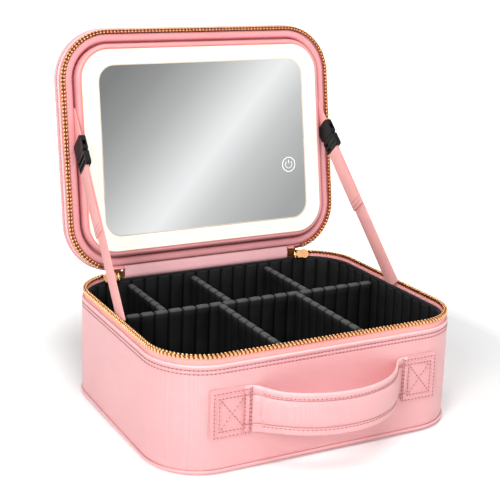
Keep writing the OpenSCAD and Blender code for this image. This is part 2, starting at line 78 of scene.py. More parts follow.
SHELL_LOW, SHELL_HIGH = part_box("base_shell")
TEETH_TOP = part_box("base_teeth")[1].z
HINGE = next(j for j in frame["record"]["behaviour"]["joints"] if j["name"] == "lid_hinge")
HINGE_AT = Vector(HINGE["pos_m"])
LID_OPEN = math.radians(-HINGE["range_deg"][0])
ROW_GAP = 0.3 * MM
CLOSE_Z = TEETH_TOP + ROW_GAP / 2

# What is drawn turned over on the base goes to its place in the open lid
LID = (
    Matrix.Translation((0, HINGE_AT.y, HINGE_AT.z))
    @ Matrix.Rotation(-LID_OPEN, 4, "X")
    @ Matrix.Translation((0, -HINGE_AT.y, 2 * CLOSE_Z - HINGE_AT.z))
    @ Matrix.Diagonal((1, 1, -1, 1))
)


def size(name, text, value):
    """A length in metres, given in millimetres."""
    return FloatProperty(name=name, description=text, default=value * MM, unit="LENGTH", precision=4)


def number(name, text, value, **limits):
    return FloatProperty(name=name, description=text, default=value, **limits)


def colour(name, text, value):
    return FloatVectorProperty(name=name, description=text, default=value, size=3, subtype="COLOR",
                               min=0, max=1)


class VanityCaseSizes(bpy.types.PropertyGroup):
    """Sizes of the case that the dressed pieces share"""

    width: number("Width", "Width along the handle face", SHELL_HIGH.x - SHELL_LOW.x, unit="LENGTH")
    depth: number("Depth", "Depth from front to back", SHELL_HIGH.y - SHELL_LOW.y, unit="LENGTH")
    edge_z: number("Edge height", "Height of the folded leather edge", SHELL_HIGH.z, unit="LENGTH")
    corner: size("Corner radius", "Radius of the four upright corners", 43)
    board: size("Board", "Thickness of the bottom board and of the lid's board", 3.4)
    layers: size("Layers", "Lip, tape and facing together", 3.6)
    liner: size("Liner", "Thickness of the black liner", 3.4)
    rib_pitch: size("Rib spacing", "Spacing of the pressed ribs", 12)
    rib_groove: size("Groove depth", "Depth of the groove between two ribs", 1.0)
    wobble: size("Unevenness", "How far the covered walls wander from flat", 0.22)
    row_top: size("Upper stitch row", "Depth of the upper stitch row below the edge", 3.7)
    row_low: size("Lower stitch row", "Depth of the lower stitch row below the edge", 6.5)
    stitch_pitch: size("Stitch spacing", "Length of one stitch and its gap", 3.1)
    stitch: size("Stitch", "Length of one stitch", 2.1)
    thread: size("Thread", "Thickness of the sewing thread", 0.5)
    hole: size("Needle hole", "Width of a needle hole", 1.0)
    tape_in: size("Tape", "Distance of the zip's middle in from the outline", 2)
    tooth_pitch: size("Tooth spacing", "Spacing of the zip's teeth", 3.2)
    tooth_w: size("Tooth width", "Width of one tooth along the row", 2.0)
    tooth_t: size("Tooth thickness", "Thickness of one tooth across the tape", 3.3)
    tooth_h: size("Tooth height", "Height of one tooth", 3.4)
    row_end: size("Row end", "Distance of the last tooth in from the side, round the back corner", 29)


class VanityLidSizes(bpy.types.PropertyGroup):
    """Sizes of the lid's lining and its lit mirror"""

    core_z: size("Core", "Level of the lining's foam, lid turned over", 82)
    crease_in: size("Crease", "Distance of the crease in from the outline", 13.4)
    crease_w: size("Crease width", "Width of the crease", 3)
    band_in: size("Band", "Distance of the band in from the outline", 4.2)
    band_z: size("Band top", "Level of the band's top", 89.5)
    pad_z: size("Pad top", "Level of the padded frame's top", 94.3)
    panel_w: size("Panel width", "Width of the lit panel", 226)
    panel_d: size("Panel height", "Height of the lit panel", 171)
    panel_r: size("Panel corner", "Corner radius of the lit panel", 25)
    panel_z: size("Panel face", "Level of the lit panel's face", 95.5)
    mirror_w: size("Mirror width", "Width of the mirror glass", 197)
    mirror_d: size("Mirror height", "Height of the mirror glass", 145)
    mirror_r: size("Mirror corner", "Corner radius of the mirror glass", 14.5)
    touch_x: size("Touch mark across", "Place of the touch mark across the mirror", 81.5)
    touch_y: size("Touch mark down", "Place of the touch mark down the mirror", 23.5)
    touch_r: size("Touch ring", "Radius of the touch mark's ring", 6.5)
    light: number("Light", "Strength of the lit border", 0.62, min=0)


class VanityStrapSizes(bpy.types.PropertyGroup):
    """Sizes of the handle and of the webbing straps"""

    tab_span: size("Tab spacing", "Distance between the middles of the tabs", 162)
    tab_w: size("Tab width", "Width of a tab", 33)
    tab_h: size("Tab height", "Height of a tab", 37.5)
    tab_t: size("Tab thickness", "Thickness of a tab", 3.2)
    grip_h: size("Grip height", "Height of the handle strap", 32)
    grip_z: size("Grip level", "Height of the handle's middle above the bottom", 47)
    grip_bow: size("Grip bow", "How far the strap stands out", 32)
    grip_turn: size("Grip turn", "Radius where the strap leaves a tab", 9)
    grip_edge: size("Grip edge", "Half the thickness of the strap's edge", 0.95)
    grip_fill: size("Grip fill", "Half the thickness of the strap's padded middle", 2.3)
    grip_rise: size("Grip rise", "How far the strap's middle arches up", 1.4)
    grip_flare: number("Grip flare", "How much taller the strap is at the tabs", 0.14, min=0, max=0.15)
    web_w: size("Webbing width", "Width of the webbing", 16)
    web_t: size("Webbing thickness", "Thickness of the webbing", 1.2)
    root_v: size("Root", "Distance of the strap's root from the hinge line", 131)
    land_y: size("Landing", "Place of the strap's lower end along the side", -8)
    upper_len: size("Upper length", "Length of the upper webbing", 26)
    buckle_l: size("Buckle length", "Length of the closed buckle", 28)
    tail_len: size("Tail", "Length of the doubled tail below the buckle", 62)


class VanityFinishes(bpy.types.PropertyGroup):
    """Colours of the finishes"""

    leather: colour("Leather", "Outer leather", (0.86, 0.42, 0.43))
    lining: colour("Lining", "Inner leather", (0.80, 0.33, 0.345))
    webbing: colour("Webbing", "Straps and zip tape", (0.98, 0.46, 0.44))
    thread: colour("Thread", "Sewing thread", (0.68, 0.25, 0.26))
    # A lighter copy of the leather: painted light, standing in for light the panel doesn't get under the lid.
    panel: colour("Panel", "Leather of the panel over the spine, lightened as painted light", (0.98, 0.53, 0.55))
    metal: colour("Zip metal", "Gold-coloured zip metal", (0.78, 0.40, 0.17))
    # The zip bead is the tape's edge, darkened to paint the shade between the teeth.
    bead: colour("Zip bead", "Edge of the zip tape between the teeth, darkened as painted shade", (0.20, 0.055, 0.018))
    foam: colour("Black foam", "Ribbed lining", (0.0085, 0.009, 0.009))
    # Painted highlight colour for the tops of the ribbed liner and the dividers, where the light falls from
    # above.
    foam_highlight: colour("Rubbed foam", "Rounded edges of the ribbed lining", (0.075, 0.077, 0.077))
    plastic: colour("Buckle plastic", "Moulded buckle", (0.007, 0.007, 0.008))
    light: colour("Light", "Lit border", (1.0, 0.955, 0.86))
    edge: colour("Mirror edge", "Ground edge of the mirror", (0.72, 0.62, 0.50))
    glow: colour("Glow", "Warm edge of the lit border", (0.84, 0.40, 0.25))
    floor: colour("Floor", "Studio floor", (0.86, 0.87, 0.87))


class VanityStage(bpy.types.PropertyGroup):
    """Camera and lamps"""

    azimuth: number("Azimuth", "Camera direction, in degrees", -26.231)
    elevation: number("Elevation", "Camera height angle, in degrees", 12.308)
    roll: number("Roll", "Camera roll, in degrees", 1.269)
    distance: size("Distance", "Camera distance from its target", 892.5)
    target_z: size("Target height", "Height of the camera's target", 90)
    aside: size("Aside", "Camera's place beside its line to the target", -50.2)
    above: size("Above", "Camera's place above its line to the target", 102.9)
    lens: number("Lens", "Focal length, in millimetres", 78.873)
    shift_x: number("Shift across", "Lens shift across", 0.1)
    shift_y: number("Shift up", "Lens shift up", -0.16)
    key: number("Key light", "Power of the key light, in watts", 17)
    fill: number("Fill light", "Power of the fill light, in watts", 6)
    top: number("Top light", "Power of the top light, in watts", 14)
    world: number("World", "Strength of the even light", 0.34)


GROUPS = {
    "case_sizes": VanityCaseSizes,
    "lid_sizes": VanityLidSizes,
    "strap_sizes": VanityStrapSizes,
    "finishes": VanityFinishes,
    "studio": VanityStage,
}


# ---------------------------------------------------------------- shader groups

def feed(tree, socket, value):
    """Links a socket to an input, or sets the input's plain value."""
    if isinstance(value, bpy.types.NodeSocket):
        tree.links.new(value, socket)
    else:
        socket.default_value = value


def supply(tree, made, inputs):
    """Feeds a node's inputs by their names, _ standing for a space."""
    for label, value in inputs.items():
        feed(tree, made.inputs[label.replace("_", " ")], value)
    return made


def add_node(tree, kind, **inputs):
    return supply(tree, tree.nodes.new("ShaderNode" + kind), inputs)


def maths(tree, operation, *operands, clamp=False):
    """A Math node: each operand is a socket or a number. Returns its output."""
    made = tree.nodes.new("ShaderNodeMath")
    made.operation, made.use_clamp = operation, clamp
    for socket, value in zip(made.inputs, operands):
        feed(tree, socket, value)
    return made.outputs[0]


def noise(tree, vector, scale, detail=3.0):
    return add_node(tree, "TexNoise", Vector=vector, Scale=scale, Detail=detail, Roughness=0.5).outputs[0]


def new_group(name, inputs, outputs):
    """A node group's tree, what it is given and what it puts out. inputs are (name, type, default)."""
    tree = bpy.data.node_groups.new(name, "ShaderNodeTree")
    for label, kind, default in inputs:
        socket = tree.interface.new_socket(label, in_out="INPUT", socket_type="NodeSocket" + kind)
        if default is not None:
            socket.default_value = default
    for label, kind in outputs:
        tree.interface.new_socket(label, in_out="OUTPUT", socket_type="NodeSocket" + kind)
    return tree, tree.nodes.new("NodeGroupInput").outputs, tree.nodes.new("NodeGroupOutput").inputs


def grain_group():
    """Fine pebbled and cross-hatched grain of coated leather."""
    tree, given, out = new_group("Leather grain", [
        ("Vector", "Vector", None), ("Scale", "Float", 1500.0), ("Hatch", "Float", 0.5)],
        [("Height", "Float"), ("Peaks", "Float")])
    cells = add_node(tree, "TexVoronoi", Vector=given["Vector"], Scale=given["Scale"])
    cells.feature = "SMOOTH_F1"
    split = add_node(tree, "SeparateXYZ", Vector=given["Vector"]).outputs
    flat = maths(tree, "ADD", split["X"], split["Y"])
    lines = []
    for sign in (1, -1):
        slope = maths(tree, "MULTIPLY_ADD", split["Z"], sign, flat)
        turn = maths(tree, "MULTIPLY", slope, given["Scale"])
        lines.append(maths(tree, "SINE", maths(tree, "MULTIPLY", turn, 2.6)))
    crossed = maths(tree, "MULTIPLY", *lines)
    hatch = maths(tree, "MULTIPLY", crossed, given["Hatch"])
    feed(tree, out["Height"], maths(tree, "ADD", cells.outputs["Distance"], hatch))
    feed(tree, out["Peaks"], maths(tree, "MULTIPLY", crossed, 1.4, clamp=True))
    return tree


def tone_group():
    """Slow change of a colour over a surface, as dye and handling leave it."""
    tree, given, out = new_group("Uneven tone", [
        ("Color", "Color", (0.8, 0.8, 0.8, 1)), ("Vector", "Vector", None), ("Scale", "Float", 18.0),
        ("Amount", "Float", 0.06)], [("Color", "Color"), ("Shade", "Float")])
    wide = noise(tree, given["Vector"], given["Scale"])
    shade = maths(tree, "MULTIPLY", maths(tree, "SUBTRACT", wide, 0.5), given["Amount"])
    bright = add_node(tree, "HueSaturation", Color=given["Color"],
                      Value=maths(tree, "MULTIPLY_ADD", shade, 2.0, 1.0),
                      Saturation=maths(tree, "MULTIPLY_ADD", shade, -1.0, 1.0))
    feed(tree, out["Color"], bright.outputs[0])
    feed(tree, out["Shade"], wide)
    return tree


def weave_group():
    """Plain weave of narrow webbing: rows along and across the piece."""
    tree, given, out = new_group("Webbing weave", [
        ("Along", "Float", 0.0), ("Across", "Float", 0.0), ("Pitch", "Float", 0.0013)],
        [("Height", "Float"), ("Gap", "Float")])
    waves = []
    for label in ("Along", "Across"):
        turn = maths(tree, "DIVIDE", given[label], given["Pitch"])
        waves.append(maths(tree, "SINE", maths(tree, "MULTIPLY", turn, HALF_TURN)))
    height = maths(tree, "ABSOLUTE", maths(tree, "MULTIPLY", *waves))
    feed(tree, out["Height"], height)
    raised = maths(tree, "MULTIPLY", height, 3.0, clamp=True)
    feed(tree, out["Gap"], maths(tree, "SUBTRACT", 1.0, raised, clamp=True))
    return tree


def painted_light_group():
    """Lightens what stands proud, a painted highlight and, on leather, the paler grain peaks, and darkens
    what lies deep as painted shade, by two masks, with a broken edge.
    """
    tree, given, out = new_group("Rubbed and shaded", [
        ("Color", "Color", (0.5, 0.5, 0.5, 1)), ("Rubbed", "Color", (0.8, 0.8, 0.8, 1)),
        ("Vector", "Vector", None), ("Proud", "Float", 0.0), ("Deep", "Float", 0.0)], [("Color", "Color")])
    broken = maths(tree, "MULTIPLY_ADD", noise(tree, given["Vector"], 260.0), 0.7, 0.65)
    light = add_node(tree, "Mix")
    light.data_type = "RGBA"
    mask = maths(tree, "MULTIPLY", given["Proud"], broken, clamp=True)
    for place, value in ((0, mask), (6, given["Color"]), (7, given["Rubbed"])):
        feed(tree, light.inputs[place], value)
    dark = add_node(tree, "HueSaturation", Color=light.outputs[2],
                    Value=maths(tree, "MULTIPLY_ADD", given["Deep"], -0.95, 1.0, clamp=True))
    feed(tree, out["Color"], dark.outputs[0])
    return tree


GROUP_MAKERS = {"grain": grain_group, "tone": tone_group, "weave": weave_group, "painted_light": painted_light_group}
made_groups = {}
made_finishes = {}


def placed(tree, name, **inputs):
    """Places one of the shared groups, which is built once, and returns what it puts out."""
    if name not in made_groups:
        made_groups[name] = GROUP_MAKERS[name]()
    made = tree.nodes.new("ShaderNodeGroup")
    made.node_tree = made_groups[name]
    return supply(tree, made, inputs).outputs


# ---------------------------------------------------------------- finishes

class Finish:
    """A material being made: its tree, its Principled shader and the object's own coordinates."""

    def __init__(self, name, base, roughness, metallic=0.0):
        self.material = bpy.data.materials.new(name)
        self.material.use_nodes = True
        self.tree = self.material.node_tree
        self.shader = self.tree.nodes["Principled BSDF"]
        self.base = (*base, 1)
        self.set(Base_Color=self.base, Roughness=roughness, Metallic=metallic)
        self.place = add_node(self.tree, "TexCoord").outputs["Object"]

    def set(self, **values):
        """Gives the shader's own sockets plain values or links."""
        supply(self.tree, self.shader, values)

    def attribute(self, name):
        made = add_node(self.tree, "Attribute")
        made.attribute_name = name
        return made.outputs["Fac"]

    def tone(self, scale, amount):
        """Lets the base colour wander; returns the colour and the slow noise."""
        out = placed(self.tree, "tone", Color=self.base, Scale=scale, Amount=amount, Vector=self.place)
        self.set(Base_Color=out["Color"])
        return out

    def paint_light(self, color, **masks):
        """Colours the shader with painted highlight where it stands proud and painted shade where it lies
        deep.
        """
        out = placed(self.tree, "painted_light", Color=color, Vector=self.place, **masks)
        self.set(Base_Color=out["Color"])

    def bump(self, height, distance, strength=1.0):
        """Adds a height in metres on top of the bumps so far."""
        made = add_node(self.tree, "Bump", Height=height, Distance=distance, Strength=strength)
        before = self.shader.inputs["Normal"].links
        if before:
            feed(self.tree, made.inputs["Normal"], before[0].from_socket)
        self.set(Normal=made.outputs["Normal"])

    def noise_bump(self, scale, detail, distance, strength):
        self.bump(noise(self.tree, self.place, scale, detail), distance, strength)

    def rough_by(self, mask, low, high):
        """Roughness that follows a mask between two values."""
        self.set(Roughness=add_node(self.tree, "MapRange", Value=mask, To_Min=low, To_Max=high).outputs[0])


def plain(label, base, roughness, tone, metallic=0.0, spread=None, bump=None, lit=None, **constants):
    """A finish whose colour wanders, with a spread of roughness, a fine bump and a light where given."""
    f = Finish(label, base, roughness, metallic)
    shade = f.tone(*tone)["Shade"]
    if spread:
        f.rough_by(shade, *spread)
    if bump:
        f.noise_bump(*bump)
    if lit:
        f.set(Emission_Color=(*lit[0], 1), Emission_Strength=lit[1])
    f.set(**constants)
    return f.material


def leather_like(label, base, roughness, depth, hatch):
    """Coated leather: pebbled grain with paler peaks, painted shade in the seams and a painted highlight on
    the crests.
    """
    f = Finish(label, base, roughness)
    tone = f.tone(22.0, 0.07)
    f.rough_by(tone["Shade"], roughness - 0.06, roughness + 0.06)
    grain = placed(f.tree, "grain", Scale=1000.0, Hatch=hatch, Vector=f.place)
    # The highlight colour goes on the paler grain peaks and, by the proud attribute, as a painted highlight
    # on crests; the deep attribute paints shade in seams and grooves.
    f.paint_light(tone["Color"], Rubbed=(*(value ** 0.5 for value in base), 1), Deep=f.attribute("deep"),
          Proud=maths(f.tree, "MULTIPLY_ADD", grain["Peaks"], hatch * 0.25, f.attribute("proud")))
    f.noise_bump(45.0, 2.0, 0.0008, 0.35)
    f.bump(grain["Height"], depth, 0.55)
    f.set(Coat_Weight=0.12, Coat_Roughness=0.35, Sheen_Weight=0.08)
    return f.material


def webbing_finish(colours):
    f = Finish("Pink webbing", colours.webbing, 0.62)
    tone = f.tone(60.0, 0.06)
    weave = placed(f.tree, "weave", Along=f.attribute("along"), Across=f.attribute("across"))
    # The weave's gaps are darkened as painted shade.
    f.paint_light(tone["Color"], Deep=maths(f.tree, "MULTIPLY", weave["Gap"], 0.22))
    f.bump(weave["Height"], 0.0003, 0.7)
    return f.material


def foam_finish(colours):
    f = Finish("Black ribbed foam", colours.foam, 0.6)
    tone = f.tone(70.0, 0.5)
    # Painted highlight on the tops of the liner and dividers (proud) and painted shade in the pressed grooves
    # (deep).
    f.paint_light(tone["Color"], Rubbed=(*colours.foam_highlight, 1), Proud=f.attribute("proud"),
          Deep=f.attribute("deep"))
    f.rough_by(tone["Shade"], 0.5, 0.68)
    f.noise_bump(1400.0, 2.0, 0.00018, 0.6)
    f.set(Specular_IOR_Level=0.2)
    return f.material


# How each finish is made from the colours, and the record's slot it goes to
FINISHES = {
    "leather": (lambda c: leather_like("Pink coated leather", c.leather, 0.44, 0.0003, 0.7), "leather_pink"),
    "lining": (lambda c: leather_like("Pink smooth lining", c.lining, 0.40, 0.00006, 0.1), "lining_pink"),
    # The panel's lightened leather is painted light.
    "panel": (lambda c: leather_like("Panel leather lightened as painted light", c.panel, 0.46, 0.0002, 0.3), "leather_pink"),
    "webbing": (webbing_finish, "webbing_pink"),
    "foam": (foam_finish, "lining_black"),
    "thread": (lambda c: plain(
        "Rose thread", c.thread, 0.6, (900.0, 0.2), bump=(6000.0, 1.0, 0.0001, 0.5)), "webbing_pink"),
    # The needle hole is a dark bead of painted shade, the thread's colour darkened.
    "hole": (lambda c: plain(
        "Needle hole", tuple(value * 0.4 for value in c.thread), 0.8, (900.0, 0.3)), "webbing_pink"),
    "tape": (lambda c: plain(
        "Pink zip tape", c.webbing, 0.7, (60.0, 0.08), bump=(1900.0, 1.0, 0.0003, 0.7)), "webbing_pink"),
    # The bead's dark colour is painted shade between the teeth.
    "bead": (lambda c: plain(
        "Zip bead darkened as painted shade", c.bead, 0.42, (700.0, 0.35), 0.7, spread=(0.32, 0.55)), "zip_gold"),
    "metal": (lambda c: plain(
        "Gold zip metal", c.metal, 0.28, (160.0, 0.18), 1.0, spread=(0.18, 0.36),
        bump=(900.0, 2.0, 0.00004, 0.5), Coat_Weight=0.45, Coat_Roughness=0.12), "zip_gold"),
    "plastic": (lambda c: plain(
        "Black moulded plastic", c.plastic, 0.36, (220.0, 0.25), spread=(0.3, 0.44),
        bump=(2600.0, 1.0, 0.00005, 0.5), Specular_IOR_Level=0.14), "buckle_black"),
    "mirror": (lambda c: plain(
        "Silvered mirror", (0.80, 0.81, 0.815), 0.015, (9.0, 0.02), 1.0, spread=(0.008, 0.03)), "mirror"),
    "edge": (lambda c: plain("Ground mirror edge", c.edge, 0.3, (120.0, 0.15)), "housing_white"),
    "housing": (lambda c: plain(
        "White moulded housing", (0.82, 0.79, 0.75), 0.45, (30.0, 0.03), bump=(1800.0, 1.0, 0.00004, 0.5)),
        "housing_white"),
    "light": (lambda c: plain(
        "Lit diffuser", (0.5, 0.47, 0.42), 0.4, (12.0, 0.02),
        lit=(c.light, bpy.context.scene.lid_sizes.light)), "diffuser"),
    "glow": (lambda c: plain("Warm light edge", c.glow, 0.4, (60.0, 0.05), lit=(c.glow, 0.2)), "diffuser"),
    "mark": (lambda c: plain(
        "Lit touch mark", (0.95, 0.96, 1.0), 0.4, (90.0, 0.02), lit=((0.95, 0.97, 1.0), 0.55)), "diffuser"),
    "cell": (lambda c: plain("Cell wrap", (0.45, 0.47, 0.5), 0.35, (80.0, 0.1), 0.8), "cell"),
    "circuit": (lambda c: plain("Circuit board", (0.02, 0.16, 0.07), 0.4, (500.0, 0.3)), "board_green"),
}


def finish(name):
    """The material of that finish, made once."""
    if name not in made_finishes:
        made_finishes[name] = FINISHES[name][0](bpy.context.scene.finishes)
    return made_finishes[name]


# ---------------------------------------------------------------- making pieces

def meshed(bm, name):
    """A new mesh from a bmesh, which is freed."""
    mesh = bpy.data.meshes.new(name)
    bm.to_mesh(mesh)
    bm.free()
    return mesh


def new_object(name, data):
    obj = bpy.data.objects.new(name, data)
    bpy.context.scene.collection.objects.link(obj)
    return obj


def newest(geometry):
    """The vertices of newly made geometry, and the edges that join them to each other."""
    verts = [g for g in geometry if isinstance(g, bmesh.types.BMVert)]
    fresh = set(verts)
    return verts, [g for g in geometry if isinstance(g, bmesh.types.BMEdge) and set(g.verts) <= fresh]


def piece(bm, name, body, look, matrix=None, stands_for=(), sharp=35.0, more=()):
    """Turns a bmesh into an object with its place in its mesh, riding on a body."""
    if matrix is not None:
        bmesh.ops.transform(bm, matrix=matrix, verts=bm.verts)
    bmesh.ops.remove_doubles(bm, verts=bm.verts, dist=0.004 * MM)
    bmesh.ops.recalc_face_normals(bm, faces=bm.faces)
    mesh = meshed(bm, name)
    mesh.shade_smooth()
    mesh.set_sharp_from_angle(angle=math.radians(sharp))
    for each in (look, *more):
        mesh.materials.append(finish(each))
    obj = new_object(name, mesh)
    if body:
        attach(obj, body)
    if stands_for:
        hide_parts(*stands_for)
    return obj


def dress(node, look, bevel=0.0, segments=2):
    """Gives a CAD node its finish and, where asked, softened edges."""
    obj = frame["nodes"][node]
    obj.data.materials.clear()
    obj.data.materials.append(finish(look))
    if bevel:
        weld = obj.modifiers.new("Join corners", "WELD")
        weld.merge_threshold = 0.002 * MM
        soften = obj.modifiers.new("Soft edges", "BEVEL")
        soften.width = bevel * MM
        soften.segments = segments
        soften.limit_method = "ANGLE"
        soften.angle_limit = math.radians(32)
        soften.use_clamp_overlap = True
        soften.harden_normals = True
    return obj


class Run:
    """A closed section carried along a level path, one station at a time.

    The section's points are (side, up, pinch side, pinch up, proud, deep): side is to the left of
    the heading, the pinch is where that point moves, per unit, at a station that is pinched, and
    proud and deep say how much painted highlight or painted shade the point's colour takes."""

    def __init__(self, section, at, heading=0.0, pinch=0.0):
        self.bm = bmesh.new()
        layers = self.bm.verts.layers
        self.pinch = layers.float_vector.new("pinch")
        self.proud = layers.float.new("proud")
        self.deep = layers.float.new("deep")
        self.along = layers.float.new("along")
        self.across = layers.float.new("across")
        self.at = Vector(at)
        self.heading = heading
        self.length = 0.0
        self.stations = []
        ring = []
        for point in section:
            side, up, pinch_side, pinch_up, proud, deep = (*point, 0, 0, 0, 0)[:6]
            v = self.bm.verts.new(self.at + self.left() * side + Vector((0, 0, up)))
            v[self.pinch] = Vector((pinch_side, pinch_up, 0))
            v[self.proud], v[self.deep] = proud, deep
            if ring:
                v[self.across] = ring[-1][self.across] + (v.co - ring[-1].co).length
            ring.append(v)
        pairs = zip(ring, ring[1:] + ring[:1]) if len(section) > 2 else zip(ring, ring[1:])
        self.edges = [self.bm.edges.new(pair) for pair in pairs]
        self.first = list(self.edges)
        self.verts = ring
        self.moves = []
        self.record(pinch)

    def left(self):
        return Vector((-math.sin(self.heading), math.cos(self.heading), 0))

    def forward(self):
        return Vector((math.cos(self.heading), math.sin(self.heading), 0))

    def record(self, pinch):
        self.stations.append((self.length, self.at.copy(), self.heading))
        self.moves.append((list(self.verts), self.left(), pinch))

    def take(self, geometry):
        """Keeps the newest ring of vertices and edges."""
        self.verts, self.edges = newest(geometry)
        for v in self.verts:
            v[self.along] = self.length

    def line(self, length, pinch=0.0):
        made = bmesh.ops.extrude_edge_only(self.bm, edges=self.edges)["geom"]
        self.length += length
        self.take(made)
        bmesh.ops.translate(self.bm, verts=self.verts, vec=self.forward() * length)
        self.at += self.forward() * length
        self.record(pinch)

    def turn(self, angle, radius, pinch=0.0):
        """Turns about a centre that lies radius to the left, or to the right where both are below 0."""
        centre = self.at + self.left() * radius
        made = bmesh.ops.spin(self.bm, geom=self.edges, cent=centre, axis=(0, 0, 1), dvec=(0, 0, 0),
                              angle=angle, steps=1, use_merge=False, use_duplicate=False)["geom_last"]
        self.length += abs(angle * radius)
        self.take(made)
        self.at = centre + Matrix.Rotation(angle, 3, "Z") @ (self.at - centre)
        self.heading += angle
        self.record(pinch)

    def lines(self, length, count):
        for _ in range(count):
            self.line(length / count)

    def turns(self, angle, radius, count):
        for _ in range(count):
            self.turn(angle / count, radius)

    def ribs(self, total, step, sizes, shape):
        """Goes total far in ribs of about one pitch; step moves by a share of a rib."""
        count = max(1, round(total / sizes.rib_pitch))
        for _ in range(count):
            for share, pinch in shape:
                step(share / count, pinch)

    def settle(self, shaded=False):
        """Moves the pinched stations' points, once the path is complete, and may shade them."""
        for verts, left, pinch in self.moves:
            if pinch:
                for v in verts:
                    if v.is_valid:
                        side, up, _ = v[self.pinch]
                        v.co += (left * side + Vector((0, 0, up))) * pinch
                        if shaded and (side or up):
                            v[self.deep] = max(0.0, pinch)
        return self

    def cap(self):
        """Closes both ends."""
        for edges in (self.first, self.edges):
            bmesh.ops.contextual_create(self.bm, geom=edges)
        return self

    def spot(self, length):
        """Place and heading at a distance along the path."""
        for (a, start, turn_a), (b, end, turn_b) in zip(self.stations, self.stations[1:]):
            if length <= b or b == self.length:
                share = (length - a) / max(b - a, 1e-9)
                return start.lerp(end, share), turn_a + (turn_b - turn_a) * share


def round_run(section, width, depth, radius, spans=10, turns=10):
    """Carries a section right round a rounded rectangle; its side counts inwards."""
    run = Run(section, (-(width / 2 - radius), -depth / 2, 0))
    for long in (width, depth, width, depth):
        run.lines(long - 2 * radius, spans)
        run.turns(QUARTER, radius, turns)
    return run


def inset_section(points):
    """A section in millimetres. A point may go on with how much painted shade it takes and how much painted
    highlight.
    """
    section = []
    for side, up, deep, proud in ((*point, 0, 0)[:4] for point in points):
        section.append((side * MM, up * MM, 0, 0, proud, deep))
    return section


class Copies:
    """Copies of one small shape, gathered in a single mesh."""

    def __init__(self, shape):
        self.bm = bmesh.new()
        self.shape = bpy.data.meshes.new("shape")
        shape.to_mesh(self.shape)
        shape.free()

    def put(self, matrix):
        self.shape.transform(matrix)
        self.bm.from_mesh(self.shape)
        self.shape.transform(matrix.inverted())

    def done(self, name, body, look, matrix=None, **given):
        bpy.data.meshes.remove(self.shape)
        return piece(self.bm, name, body, look, matrix, **given)


class Stitches(Copies):
    """Rows of short threads, each thicker in its middle and followed by its needle hole, a dark bead of
    painted shade.
    """

    def __init__(self, sizes):
        self.pitch = sizes.stitch_pitch
        bead = bmesh.new()
        bmesh.ops.create_uvsphere(bead, u_segments=6, v_segments=4, radius=0.5)
        shape = Matrix.Rotation(QUARTER, 4, "Y") @ Matrix.Diagonal((sizes.thread, sizes.thread * 1.3,
                                                                    sizes.stitch, 1))
        bmesh.ops.transform(bead, matrix=shape, verts=bead.verts)
        threads = len(bead.faces)
        bmesh.ops.create_uvsphere(bead, u_segments=6, v_segments=4, radius=sizes.hole / 2,
                                  matrix=Matrix.Translation((self.pitch / 2, 0, 0)))
        for face in list(bead.faces)[threads:]:
            face.material_index = 1
        super().__init__(bead)

    def sew(self, place, heading):
        self.put(Matrix.Translation(place) @ Matrix.Rotation(heading, 4, "Z"))

    def beside(self, run, side, up, start=0.0, end=None, bend=None):
        """A row beside a run's path."""
        end = run.length if end is None else end
        count = int((end - start) / self.pitch)
        for i in range(count):
            length = start + (i + 0.5) * (end - start) / count
            at, heading = run.spot(length)
            place = at + Vector((-math.sin(heading) * side, math.cos(heading) * side, up))
            self.sew(bend(place, length) if bend else place, heading)

    def line(self, start, end, lift=0.0):
        """A straight row between two points of the XY plane."""
        start, end = Vector((*start, lift)), Vector((*end, lift))
        count = max(1, round((end - start).length / self.pitch))
        heading = math.atan2(end.y - start.y, end.x - start.x)
        for i in range(count):
            self.sew(start.lerp(end, (i + 0.5) / count), heading)

    def path(self, points, lift=0.0):
        for a, b in zip(points, points[1:]):
            self.line(a, b, lift)

    def done(self, name, body, matrix=None):
        return super().done(name, body, "thread", matrix, more=("hole",))


def plate(width, depth, radius, turns, level):
    """A bmesh that holds one flat face, a rounded rectangle at a level."""
    bm = bmesh.new()
    centre_x, centre_y = width / 2 - radius, depth / 2 - radius
    verts = []
    for q, (sign_x, sign_y) in enumerate(((1, -1), (1, 1), (-1, 1), (-1, -1))):
        for k in range(turns + 1):
            angle = QUARTER * (q + k / turns - 1)
            verts.append(bm.verts.new((sign_x * centre_x + radius * math.cos(angle),
                                       sign_y * centre_y + radius * math.sin(angle), level)))
    bm.faces.new(verts)
    return bm


def wander(bm, amount, axis_scale=9.0, keep=None):
    """Moves points a little, in slow waves, so that covered surfaces aren't ruler-flat."""
    bmesh.ops.recalc_face_normals(bm, faces=bm.faces)
    bm.normal_update()
    for v in bm.verts:
        p = v.co * axis_scale
        wave = math.sin(5.3 * p.x + 3.1 * p.z) + math.sin(4.1 * p.y - 6.7 * p.z + 1.3)
        wave += 0.6 * math.sin(11.0 * p.x - 7.0 * p.y + 4.0 * p.z)
        v.co += v.normal * (wave / 2.6 * amount * (keep(v.co) if keep else 1.0))


# ---------------------------------------------------------------- operators

